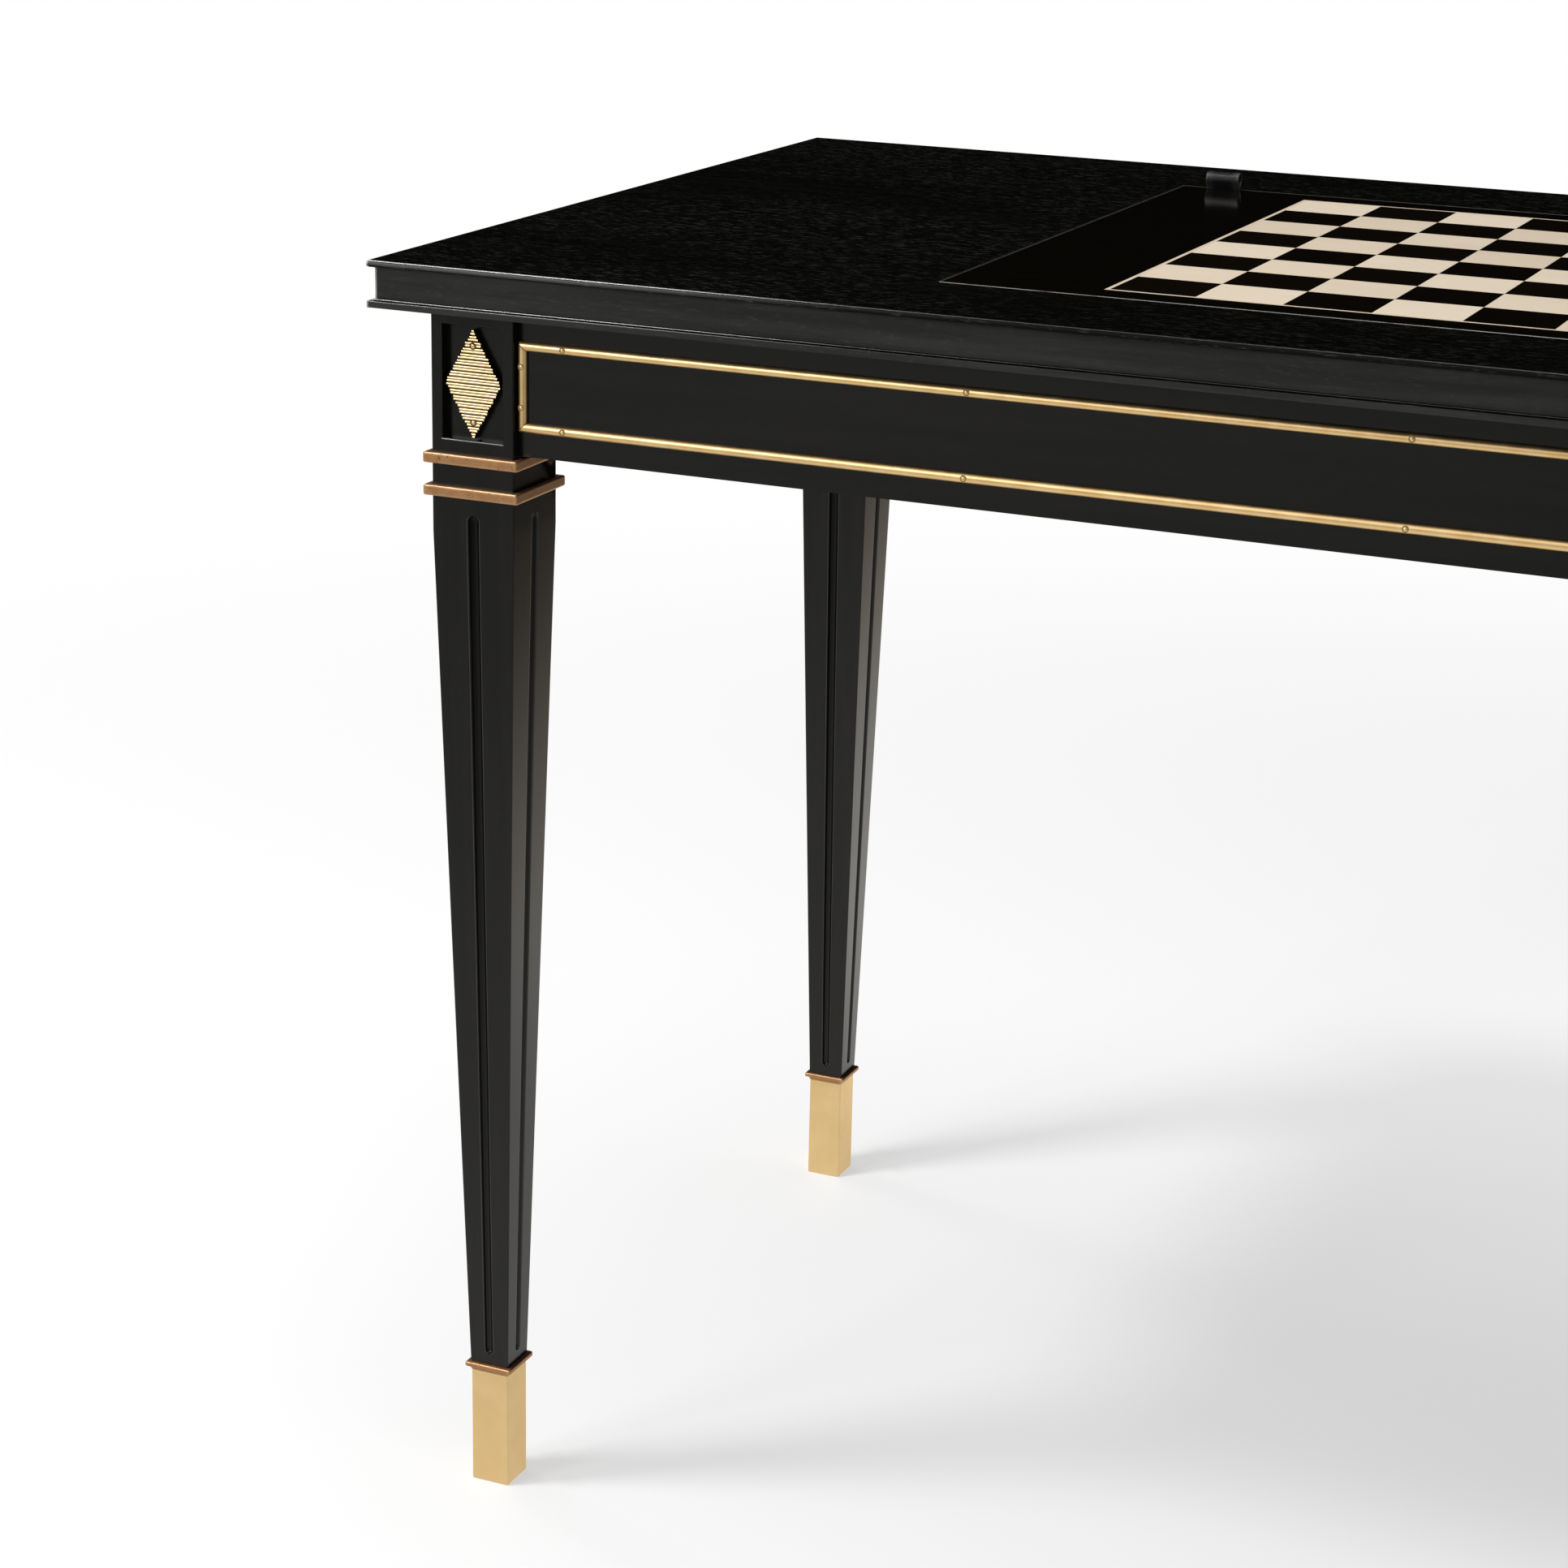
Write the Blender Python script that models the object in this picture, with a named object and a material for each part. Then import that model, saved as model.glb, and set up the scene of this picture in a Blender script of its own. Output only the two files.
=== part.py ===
"""Games table with a lift-out chess panel over a games well.

An ebonised table on four tapered, fluted legs. Each leg has a square block with sunk
panels and ribbed brass diamonds, two gilt collars, and a brass sabot under a small foot
collar. The rails are tenoned into the blocks and carry mitred half-round brass frames.
The top is a moulded surround whose pocket holds a flush panel inlaid with a chess field.
The panel lifts off a framed games well by two leather tabs.

Metres, +Z up, front towards -Y, origin on the floor under the middle of the top.
"""

from bisect import bisect
from math import copysign, cos, radians, sin

import bmesh
import bpy
from mathutils import Matrix, Vector

# Driving dimensions of the whole table
TABLE_HEIGHT = 0.762
TOP_WIDTH = 1.169
TOP_DEPTH = 0.627
SEAT_GAP = 0.0003
CUT_OVERRUN = 0.002
WELD = 0.00003
SHARP_FROM_DEGREES = 40

# Top surround: its border in front of and behind the panel, then lip, cove, fascia and bead
BORDER = 0.0959
EDGE_HEIGHT = 0.0263
LIP_HEIGHT = 0.0039
LIP_OVERHANG = 0.0036
LIP_ROUND = 0.0012
COVE_RADIUS = 0.0011
BEAD_HEIGHT = 0.0037
BEAD_ROUND = 0.0008
BEAD_STEP_HEIGHT = 0.0009
BEAD_STEP_WIDTH = 0.0013
TOP_ARRIS = 0.0005

# Lift-out panel, with its margins round the chess field
PANEL_SIDE_MARGIN = 0.0871
PANEL_END_MARGIN = 0.0224
PANEL_THICKNESS = 0.016
PANEL_ARRIS = 0.0005
PANEL_CLEARANCE = 0.0008

# Chess field, whose squares fill the panel's depth between its margins
SQUARES = 8
STRINGING = 0.0024
MAPLE_BASE = 0.001
INLAY_THICKNESS = 0.0014
SQUARE_NECK = 0.0004
INLAY_GAP = 0.0003

# Leather pull tabs at the back edge of the panel
TAB_WIDTH = 0.022
TAB_PLY = 0.0011
TAB_LOOP_RADIUS = 0.0044
TAB_RISE = 0.0109
TAB_CORNER_MARGIN = 0.0163
TAB_EDGE_INSET = 0.0005
TAB_TAIL = 0.016
TAB_LOOP_FROM_DEGREES = -30
TAB_LOOP_TO_DEGREES = 210
TAB_LOOP_STEPS = 12

# Legs, from the block down to the spigot
LEG_INSET = 0.052
BLOCK_WIDTH = 0.052
BLOCK_BELOW_RAIL = 0.0014
LEG_ARRIS = 0.0006
STRAIGHT_BELOW_COLLAR = 0.0212
ANKLE_PROUD = 0.0005
SPIGOT_CLEARANCE = 0.0003

# Sunk panel and ribbed brass diamond on each outer face of a block
RECESS_SIDE_MARGIN = 0.007
RECESS_TOP_MARGIN = 0.009
RECESS_BOTTOM_MARGIN = 0.0083
RECESS_CORNER_WALL = 0.001
DIAMOND_SIDE_MARGIN = 0.0017
DIAMOND_TIP_MARGIN = 0.001
DIAMOND_TIP_HALF_WIDTH = 0.0004
DIAMOND_BASE = 0.0036
DIAMOND_RIB_RISE = 0.0009
DIAMOND_RIBS = 36

# Gilt collars, foot collar and brass sabot
COLLAR_HEIGHT = 0.006
COLLAR_PROUD = 0.004
COLLAR_ROUND = 0.0011
NECK_HEIGHT = 0.0128
FOOT_COLLAR_HEIGHT = 0.0052
FOOT_COLLAR_PROUD = 0.0032
FOOT_COLLAR_ROUND = 0.0009
SABOT_HEIGHT = 0.0752
SABOT_WIDTH = 0.0247
SABOT_WALL = 0.0016
SABOT_FLOOR = 0.003
SABOT_ARRIS = 0.0005

# Flutes, one down the middle of each leg face
FLUTE_TOP_MARGIN = 0.01
FLUTE_BOTTOM_MARGIN = 0.007
FLUTE_TOP_WIDTH = 0.0076
FLUTE_BOTTOM_WIDTH = 0.0054
FLUTE_SIDES = 12
FLUTE_END_STEPS = 3

# Rails and their tenons
RAIL_HEIGHT = 0.0816
RAIL_THICKNESS = 0.022
RAIL_SETBACK = 0.0062
TENON_LENGTH = 0.018
TENON_SHOULDER = 0.005

# Mitred half-round brass frames on the rails
BRASS_WIDTH = 0.0058
BRASS_SIDES = 16
BRASS_TOP_MARGIN = 0.0158
BRASS_BOTTOM_MARGIN = 0.0138

# Games well under the panel
WELL_WALL = 0.012
WELL_DEPTH = 0.060
WELL_FLOOR = 0.009
LINING = 0.0015
BAR_WIDTH = 0.032
BAR_HEIGHT = 0.024
BAR_ARRIS = 0.002

# Sizes and places that follow from the ones above
FIELD_OUTER_HALF = TOP_DEPTH / 2 - BORDER - PANEL_END_MARGIN
FIELD_HALF = FIELD_OUTER_HALF - STRINGING
SQUARE = 2 * FIELD_HALF / SQUARES
POCKET_DEPTH = INLAY_GAP + MAPLE_BASE + INLAY_GAP + INLAY_THICKNESS
PANEL_HALF = Vector((FIELD_OUTER_HALF + PANEL_SIDE_MARGIN, TOP_DEPTH / 2 - BORDER))
OPENING_HALF = PANEL_HALF + Vector((PANEL_CLEARANCE, PANEL_CLEARANCE))
PANEL_LOW_Z = TABLE_HEIGHT - PANEL_THICKNESS
TAB_ROOT_Y = PANEL_HALF.y - TAB_EDGE_INSET
TAB_CENTRE_X = PANEL_HALF.x - TAB_CORNER_MARGIN - TAB_WIDTH / 2
TAB_LOOP_Z = TABLE_HEIGHT + TAB_RISE - TAB_LOOP_RADIUS
TOP_LOW_Z = TABLE_HEIGHT - EDGE_HEIGHT
FRAME_TOP_Z = TOP_LOW_Z - SEAT_GAP
RAIL_LOW_Z = FRAME_TOP_Z - RAIL_HEIGHT
BLOCK_LOW_Z = RAIL_LOW_Z - BLOCK_BELOW_RAIL
NECK_TOP_Z = BLOCK_LOW_Z - COLLAR_HEIGHT
LOWER_COLLAR_LOW_Z = NECK_TOP_Z - NECK_HEIGHT - COLLAR_HEIGHT
TAPER_TOP_Z = LOWER_COLLAR_LOW_Z - STRAIGHT_BELOW_COLLAR
FOOT_COLLAR_LOW_Z = SABOT_HEIGHT + SEAT_GAP
ANKLE_Z = FOOT_COLLAR_LOW_Z + FOOT_COLLAR_HEIGHT + SEAT_GAP
BLOCK_HALF = BLOCK_WIDTH / 2
SABOT_HALF = SABOT_WIDTH / 2
SABOT_INNER_HALF = SABOT_HALF - SABOT_WALL
ANKLE_HALF = SABOT_HALF + ANKLE_PROUD
RECESS_DEPTH = RECESS_SIDE_MARGIN - RECESS_CORNER_WALL
RECESS_HALF_WIDTH = BLOCK_HALF - RECESS_SIDE_MARGIN
RECESS_LOW_Z = BLOCK_LOW_Z + RECESS_BOTTOM_MARGIN
RECESS_TOP_Z = FRAME_TOP_Z - RECESS_TOP_MARGIN
LEG_X = TOP_WIDTH / 2 - LEG_INSET
LEG_Y = TOP_DEPTH / 2 - LEG_INSET
RAIL_FACE_OFFSET = BLOCK_HALF - RAIL_SETBACK
WELL_TOP_Z = PANEL_LOW_Z - SEAT_GAP
LINING_TOP_Z = WELL_TOP_Z - WELL_DEPTH
WELL_FLOOR_Z = LINING_TOP_Z - LINING - SEAT_GAP
WELL_OUTER_HALF = OPENING_HALF - Vector((SEAT_GAP, SEAT_GAP))
WELL_INNER_HALF = WELL_OUTER_HALF - Vector((WELL_WALL, WELL_WALL))

# Linear colour, roughness and metallic value of each finish
EBONISED_WOOD = ((0.012, 0.011, 0.010), 0.38, 0.0)
EBONISED_PANEL = ((0.006, 0.006, 0.006), 0.16, 0.0)
MAPLE = ((0.77, 0.63, 0.46), 0.32, 0.0)
POLISHED_BRASS = ((0.78, 0.55, 0.24), 0.28, 1.0)
SATIN_BRASS = ((0.74, 0.53, 0.27), 0.45, 1.0)
COPPER_GILT = ((0.52, 0.26, 0.10), 0.42, 1.0)
LEATHER = ((0.016, 0.016, 0.018), 0.45, 0.0)
FELT = ((0.035, 0.036, 0.038), 0.95, 0.0)

# Faces and corners in the order of the quarter turns that bring the first of each to them
FACES = ("front", "right", "back", "left")
CORNERS = ("front_left", "front_right", "back_right", "back_left")


def clear_scene():
    """Removes whatever the file opened with."""
    for old in list(bpy.data.objects):
        bpy.data.objects.remove(old, do_unlink=True)


def new_collection(name):
    """A collection linked to the scene."""
    group = bpy.data.collections.new(name)
    bpy.context.scene.collection.children.link(group)
    return group


def finish_of(name, recipe):
    """A Principled material from a colour, a roughness and a metallic value."""
    colour, roughness, metallic = recipe
    material = bpy.data.materials.new(name)
    material.use_nodes = True
    shader = material.node_tree.nodes["Principled BSDF"]
    shader.inputs["Base Color"].default_value = (*colour, 1)
    shader.inputs["Roughness"].default_value = roughness
    shader.inputs["Metallic"].default_value = metallic
    material.diffuse_color = (*colour, 1)
    return material


def place(name, mesh, recipe, parent=None, matrix=None):
    """One named piece in the table's collection, smooth where it is round, in its own material."""
    piece = bpy.data.objects.new(name, mesh)
    table.objects.link(piece)
    piece.parent = parent
    if matrix is not None:
        piece.matrix_local = matrix
    mesh.shade_smooth()
    mesh.set_sharp_from_angle(angle=radians(SHARP_FROM_DEGREES))
    if not mesh.materials:
        mesh.materials.append(None)
    piece.material_slots[0].link = "OBJECT"
    piece.material_slots[0].material = finish_of(name, recipe)
    return piece


def place_empty(name, matrix):
    """A parent for pieces that are placed together."""
    empty = bpy.data.objects.new(name, None)
    table.objects.link(empty)
    empty.matrix_local = matrix
    return empty


def quarter_turn(count):
    """A rotation about the vertical by whole quarter turns."""
    return Matrix.Rotation(radians(90 * count), 4, "Z")


def mesh_from(name, bm):
    """Closes a bmesh into a mesh with its faces pointing out."""
    bmesh.ops.recalc_face_normals(bm, faces=bm.faces)
    if bm.calc_volume(signed=True) < 0:
        bmesh.ops.reverse_faces(bm, faces=bm.faces)
    mesh = bpy.data.meshes.new(name)
    bm.to_mesh(mesh)
    bm.free()
    return mesh


def evaluated_mesh(piece):
    """The mesh of an object with its modifiers carried out."""
    bpy.context.view_layer.update()
    graph = bpy.context.evaluated_depsgraph_get()
    return bpy.data.meshes.new_from_object(piece.evaluated_get(graph), depsgraph=graph)


def cut_from(name, solid, tool):
    """The mesh left when a tool solid is cut from a solid."""
    cutter = bpy.data.objects.new(name + "_cutter", tool)
    cutters.objects.link(cutter)
    cutter.hide_render = True
    cutter.display_type = "WIRE"
    blank = bpy.data.objects.new(name + "_blank", solid)
    cutters.objects.link(blank)
    cut = blank.modifiers.new("cut", "BOOLEAN")
    cut.operation = "DIFFERENCE"
    cut.solver = "EXACT"
    cut.object = cutter
    result = evaluated_mesh(blank)
    bpy.data.objects.remove(blank)
    result.name = name
    return result


def rectangle(half_x, half_y, z, chamfer):
    """Corners of a level rectangle, counter-clockwise, with chamfered corners if wanted."""
    points = []
    for sign_x, sign_y in ((1, 1), (-1, 1), (-1, -1), (1, -1)):
        on_side = Vector((sign_x * half_x, sign_y * (half_y - chamfer), z))
        on_end = Vector((sign_x * (half_x - chamfer), sign_y * half_y, z))
        if chamfer == 0:
            points.append(on_side)
        else:
            points += [on_side, on_end] if sign_x == sign_y else [on_end, on_side]
    return points


def add_loft(bm, sections, chamfer=0, ring=False):
    """Adds a solid through level rectangles, each (half_x, half_y, z), capped or in a ring.

    Each section is extruded from the one before it, and its corners move with its sides.
    """
    corners = [bm.verts.new(point) for point in rectangle(*sections[0], chamfer)]
    rim = [bm.edges.new(pair) for pair in zip(corners, corners[1:] + corners[:1])]
    if ring:
        sections = sections + sections[:1]
    else:
        bmesh.ops.contextual_create(bm, geom=rim)
    for (last_x, last_y, last_z), (half_x, half_y, z) in zip(sections, sections[1:]):
        made = bmesh.ops.extrude_edge_only(bm, edges=rim)["geom"]
        rim = [item for item in made if isinstance(item, bmesh.types.BMEdge)]
        for corner in [item for item in made if isinstance(item, bmesh.types.BMVert)]:
            corner.co.x += copysign(1, corner.co.x) * (half_x - last_x)
            corner.co.y += copysign(1, corner.co.y) * (half_y - last_y)
            corner.co.z += z - last_z
    if not ring:
        bmesh.ops.contextual_create(bm, geom=rim)
    bmesh.ops.remove_doubles(bm, verts=bm.verts, dist=WELD)


def loft(name, sections, chamfer=0, ring=False):
    """A mesh of one lofted solid."""
    bm = bmesh.new()
    add_loft(bm, sections, chamfer, ring)
    return mesh_from(name, bm)


def add_box(bm, low, high):
    """Adds a box between two corners."""
    low, high = Vector(low), Vector(high)
    matrix = Matrix.Translation((low + high) / 2) @ Matrix.Diagonal((*(high - low), 1))
    bmesh.ops.create_cube(bm, size=1, matrix=matrix)


def box(name, low, high):
    """A mesh of one box."""
    bm = bmesh.new()
    add_box(bm, low, high)
    return mesh_from(name, bm)


def arc(centre, radius, start, end, steps):
    """Points of an arc in a plane, with its angles in degrees."""
    angles = [radians(start + (end - start) * step / steps) for step in range(steps + 1)]
    return [(centre[0] + radius * cos(a), centre[1] + radius * sin(a)) for a in angles]


def edge_profile():
    """The moulded edge from the top arris down, as (distance in from the lip, height)."""
    lip_low = TABLE_HEIGHT - LIP_HEIGHT
    bead_top = TOP_LOW_Z + BEAD_HEIGHT
    step_top = bead_top + BEAD_STEP_HEIGHT
    step_in = LIP_OVERHANG - BEAD_STEP_WIDTH
    lip = arc((LIP_ROUND, TABLE_HEIGHT - LIP_ROUND), LIP_ROUND, 90, 180, 3)
    lip += arc((LIP_ROUND, lip_low + LIP_ROUND), LIP_ROUND, 180, 270, 3)
    cove = arc((LIP_OVERHANG - COVE_RADIUS, lip_low - COVE_RADIUS), COVE_RADIUS, 90, 0, 3)
    step = [(LIP_OVERHANG, step_top), (step_in, (step_top + bead_top) / 2), (step_in, bead_top)]
    bead = arc((BEAD_ROUND, bead_top - BEAD_ROUND), BEAD_ROUND, 90, 180, 3)
    return lip + cove + step + bead + [(0, TOP_LOW_Z)]


def make_top_surround():
    """The moulded top, a ring round the pocket that takes the lift-out panel."""
    sections = []
    for inset, z in edge_profile():
        sections.append((TOP_WIDTH / 2 - inset, TOP_DEPTH / 2 - inset, z))
    arris_half = OPENING_HALF + Vector((TOP_ARRIS, TOP_ARRIS))
    sections.append((*OPENING_HALF, TOP_LOW_Z))
    sections.append((*OPENING_HALF, TABLE_HEIGHT - TOP_ARRIS))
    sections.append((*arris_half, TABLE_HEIGHT))
    surround = loft("top_surround", sections, TOP_ARRIS, ring=True)
    place("top_surround", surround, EBONISED_WOOD)


def tab_seats():
    """Cutters for the tabs: a slot at the panel's back edge, and a rebate under it."""
    half = TAB_WIDTH / 2 + SEAT_GAP
    front_y = TAB_ROOT_Y - 2 * TAB_PLY - SEAT_GAP
    tail_y = TAB_ROOT_Y - TAB_TAIL - SEAT_GAP
    rebate_z = PANEL_LOW_Z + 2 * TAB_PLY + SEAT_GAP
    low_z = PANEL_LOW_Z - CUT_OVERRUN
    back_y = PANEL_HALF.y + CUT_OVERRUN
    slots, rebates = bmesh.new(), bmesh.new()
    for side in (-1, 1):
        low_x, high_x = side * TAB_CENTRE_X - half, side * TAB_CENTRE_X + half
        add_box(slots, (low_x, front_y, low_z), (high_x, back_y, TABLE_HEIGHT + CUT_OVERRUN))
        add_box(rebates, (low_x, tail_y, low_z), (high_x, back_y, rebate_z))
    return mesh_from("tab_slots", slots), mesh_from("tab_rebates", rebates)


def make_panel():
    """The lift-out panel, with a pocket for the inlay and seats for the two tabs."""
    pocket = FIELD_OUTER_HALF + INLAY_GAP
    arris_half = PANEL_HALF - Vector((PANEL_ARRIS, PANEL_ARRIS))
    blank = loft("panel_blank", [
        (pocket, pocket, TABLE_HEIGHT - POCKET_DEPTH),
        (pocket, pocket, TABLE_HEIGHT),
        (*arris_half, TABLE_HEIGHT),
        (*PANEL_HALF, TABLE_HEIGHT - PANEL_ARRIS),
        (*PANEL_HALF, PANEL_LOW_Z),
    ])
    slots, rebates = tab_seats()
    slotted = cut_from("slotted_panel", blank, slots)
    mesh = cut_from("game_panel", slotted, rebates)
    place("game_panel", mesh, EBONISED_PANEL, lift_out)


def lattice(outer, channel):
    """Grid lines of the field: two beside each inner lattice line, between two outer lines."""
    lines = [-outer]
    for step in range(1, SQUARES):
        middle = -FIELD_HALF + step * SQUARE
        lines += [middle - channel / 2, middle + channel / 2]
    return lines + [outer]


def is_light(column, row):
    """Whether a lattice cell is a light square. Even cells are squares, and the first is dark."""
    on_square = column % 2 == 0 and row % 2 == 0
    return on_square and (column // 2 + row // 2) % 2 == 1


def flat_grid(lines, keep):
    """A level sheet of the grid cells that keep(column, row) wants."""
    bm = bmesh.new()
    grid = [[bm.verts.new((x, y, 0)) for y in lines] for x in lines]
    for column in range(len(lines) - 1):
        for row in range(len(lines) - 1):
            if keep(column, row):
                near, far = grid[column][row : row + 2], grid[column + 1][row : row + 2]
                bm.faces.new((near[0], far[0], far[1], near[1]))
    unused = [vert for vert in bm.verts if not vert.link_faces]
    bmesh.ops.delete(bm, geom=unused, context="VERTS")
    return bm


def raise_faces(bm, faces, height):
    """Extrudes faces upwards and returns the new corners."""
    made = bmesh.ops.extrude_face_region(bm, geom=faces)["geom"]
    corners = [item for item in made if isinstance(item, bmesh.types.BMVert)]
    bmesh.ops.translate(bm, verts=corners, vec=(0, 0, height))
    return [item for item in made if isinstance(item, bmesh.types.BMFace)]


def place_inlay(name, bm, low_z, recipe):
    """Sets an inlay sheet at its height in the panel."""
    bmesh.ops.translate(bm, verts=bm.verts, vec=(0, 0, low_z))
    place(name, mesh_from(name, bm), recipe, lift_out)


def make_chess_field():
    """A maple sheet whose squares and stringing stand up through a sheet of dark squares."""
    maple_low = TABLE_HEIGHT - POCKET_DEPTH + INLAY_GAP
    dark_low = maple_low + MAPLE_BASE + INLAY_GAP

    dark = flat_grid(lattice(FIELD_HALF, SQUARE_NECK), lambda c, r: not is_light(c, r))
    raise_faces(dark, dark.faces[:], INLAY_THICKNESS)
    place_inlay("dark_squares", dark, dark_low, EBONISED_PANEL)

    inner = lattice(FIELD_HALF + INLAY_GAP, SQUARE_NECK + 2 * INLAY_GAP)
    lines = [-FIELD_OUTER_HALF] + inner + [FIELD_OUTER_HALF]
    last = len(lines) - 2
    maple = flat_grid(lines, lambda c, r: True)
    proud = []
    for face in raise_faces(maple, maple.faces[:], MAPLE_BASE):
        column, row = [bisect(lines, place) - 1 for place in face.calc_center_median().xy]
        on_stringing = column in (0, last) or row in (0, last)
        if on_stringing or is_light(column - 1, row - 1):
            proud.append(face)
    raise_faces(maple, proud, INLAY_GAP + INLAY_THICKNESS)
    bmesh.ops.delete(maple, geom=proud, context="FACES")
    place_inlay("maple_inlay", maple, maple_low, MAPLE)


def loop_arc(radius):
    """The round part of a tab's loop, from the back over the top, as (y, z)."""
    centre = (TAB_ROOT_Y - TAB_PLY, TAB_LOOP_Z)
    return arc(centre, radius, TAB_LOOP_FROM_DEGREES, TAB_LOOP_TO_DEGREES, TAB_LOOP_STEPS)


def tab_outline():
    """Side outline of a tab: up from the tail, round a teardrop loop and back, as (y, z)."""
    tail_y = TAB_ROOT_Y - TAB_TAIL
    front_y = TAB_ROOT_Y - 2 * TAB_PLY
    bend_z = PANEL_LOW_Z + 2 * TAB_PLY
    up = [(tail_y, PANEL_LOW_Z), (TAB_ROOT_Y, PANEL_LOW_Z), (TAB_ROOT_Y, TABLE_HEIGHT)]
    down = [(front_y, TABLE_HEIGHT), (front_y, bend_z), (tail_y, bend_z)]
    return up + loop_arc(TAB_LOOP_RADIUS) + down


def tab_eye():
    """The eye of the loop, one ply in from its outline and drawn to a point below."""
    below = (TAB_ROOT_Y - TAB_PLY, TABLE_HEIGHT + 2 * TAB_PLY)
    return loop_arc(TAB_LOOP_RADIUS - TAB_PLY) + [below]


def make_pull_tabs():
    """Two leather tabs, each one strip doubled over itself and glued under the panel."""
    for side, name in ((-1, "pull_tab_left"), (1, "pull_tab_right")):
        flat = bpy.data.curves.new(name, "CURVE")
        flat.dimensions = "2D"
        flat.fill_mode = "BOTH"
        flat.extrude = TAB_WIDTH / 2
        for outline in (tab_outline(), tab_eye()):
            spline = flat.splines.new("POLY")
            spline.points.add(len(outline) - 1)
            spline.use_cyclic_u = True
            for point, (y, z) in zip(spline.points, outline):
                point.co = (y, z, 0, 1)
        strip = bpy.data.objects.new(name + "_outline", flat)
        cutters.objects.link(strip)
        bm = bmesh.new()
        bm.from_mesh(evaluated_mesh(strip))
        bpy.data.objects.remove(strip)
        bmesh.ops.remove_doubles(bm, verts=bm.verts, dist=WELD)
        bmesh.ops.rotate(bm, verts=bm.verts, matrix=Matrix(((0, 0, 1), (1, 0, 0), (0, 1, 0))))
        bmesh.ops.translate(bm, verts=bm.verts, vec=(side * TAB_CENTRE_X, 0, 0))
        place(name, mesh_from(name, bm), LEATHER, lift_out)


def make_games_well():
    """The frame that carries the panel, with the well's floor, lining and centre bar."""
    outer, inner = WELL_OUTER_HALF, WELL_INNER_HALF
    frame_low = WELL_FLOOR_Z + SEAT_GAP
    corners = [(outer, WELL_TOP_Z), (outer, frame_low), (inner, frame_low), (inner, WELL_TOP_Z)]
    frame = loft("well_frame", [(*half, z) for half, z in corners], ring=True)
    place("well_frame", frame, EBONISED_WOOD)

    floor_low = WELL_FLOOR_Z - WELL_FLOOR
    floor = box("well_floor", (-outer.x, -outer.y, floor_low), (outer.x, outer.y, WELL_FLOOR_Z))
    place("well_floor", floor, EBONISED_WOOD)

    lined = inner - Vector((SEAT_GAP, SEAT_GAP))
    lining_low = LINING_TOP_Z - LINING
    lining = box("well_lining", (-lined.x, -lined.y, lining_low), (lined.x, lined.y, LINING_TOP_Z))
    place("well_lining", lining, FELT)

    bar_low = LINING_TOP_Z + SEAT_GAP
    bar_top = bar_low + BAR_HEIGHT
    bar = loft("centre_bar", [
        (BAR_WIDTH / 2 - BAR_ARRIS, lined.y, bar_top),
        (BAR_WIDTH / 2, lined.y, bar_top - BAR_ARRIS),
        (BAR_WIDTH / 2, lined.y, bar_low),
    ])
    place("centre_bar", bar, EBONISED_WOOD)


def leg_half(z):
    """Half the width of a leg at a height."""
    if z >= TAPER_TOP_Z:
        return BLOCK_HALF
    share = (z - ANKLE_Z) / (TAPER_TOP_Z - ANKLE_Z)
    return ANKLE_HALF + share * (BLOCK_HALF - ANKLE_HALF)


def flute_mesh():
    """The cutter of the flute on the -Y face: a tapered, round-ended rod along its middle."""
    top_z = LOWER_COLLAR_LOW_Z - FLUTE_TOP_MARGIN
    low_z = ANKLE_Z + FLUTE_BOTTOM_MARGIN
    top_r, low_r = FLUTE_TOP_WIDTH / 2, FLUTE_BOTTOM_WIDTH / 2
    profile = arc((0, top_z - top_r), top_r, 90, 0, FLUTE_END_STEPS)
    profile += arc((0, low_z + low_r), low_r, 0, -90, FLUTE_END_STEPS)
    bm = bmesh.new()
    points = [bm.verts.new((radius, 0, z)) for radius, z in profile]
    edges = [bm.edges.new(pair) for pair in zip(points, points[1:])]
    bmesh.ops.spin(bm, geom=points + edges, axis=(0, 0, 1), cent=(0, 0, 0),
                   angle=radians(360), steps=FLUTE_SIDES, use_merge=True)
    bmesh.ops.remove_doubles(bm, verts=bm.verts, dist=WELD)
    for vert in bm.verts:
        vert.co.y -= leg_half(vert.co.z)
    return mesh_from("flute", bm)


def leg_cutters():
    """Flutes on all four faces, sunk panels on the outer faces, mortises in the inner ones."""
    flute = flute_mesh()
    outer_y = -BLOCK_HALF
    sunk = box("sunk_panel", (-RECESS_HALF_WIDTH, outer_y - CUT_OVERRUN, RECESS_LOW_Z),
               (RECESS_HALF_WIDTH, outer_y + RECESS_DEPTH, RECESS_TOP_Z))
    tenon_half = RAIL_THICKNESS / 2 - TENON_SHOULDER + SEAT_GAP
    tenon_y = -RAIL_FACE_OFFSET + RAIL_THICKNESS / 2
    tenon_low = RAIL_LOW_Z + TENON_SHOULDER - SEAT_GAP
    tenon_top = FRAME_TOP_Z - TENON_SHOULDER + SEAT_GAP
    inner_x = BLOCK_HALF - TENON_LENGTH - SEAT_GAP
    mortise = box("mortise", (inner_x, tenon_y - tenon_half, tenon_low),
                  (BLOCK_HALF + CUT_OVERRUN, tenon_y + tenon_half, tenon_top))
    mirrored = Matrix(((0, 1, 0, 0), (1, 0, 0, 0), (0, 0, 1, 0), (0, 0, 0, 1)))
    placed = [(flute, quarter_turn(turn)) for turn in range(4)]
    placed += [(sunk, quarter_turn(0)), (sunk, quarter_turn(-1))]
    placed += [(mortise, quarter_turn(0)), (mortise, mirrored)]
    bm = bmesh.new()
    for mesh, matrix in placed:
        turned = mesh.copy()
        turned.transform(matrix)
        bm.from_mesh(turned)
    return mesh_from("leg_cutters", bm)


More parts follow.
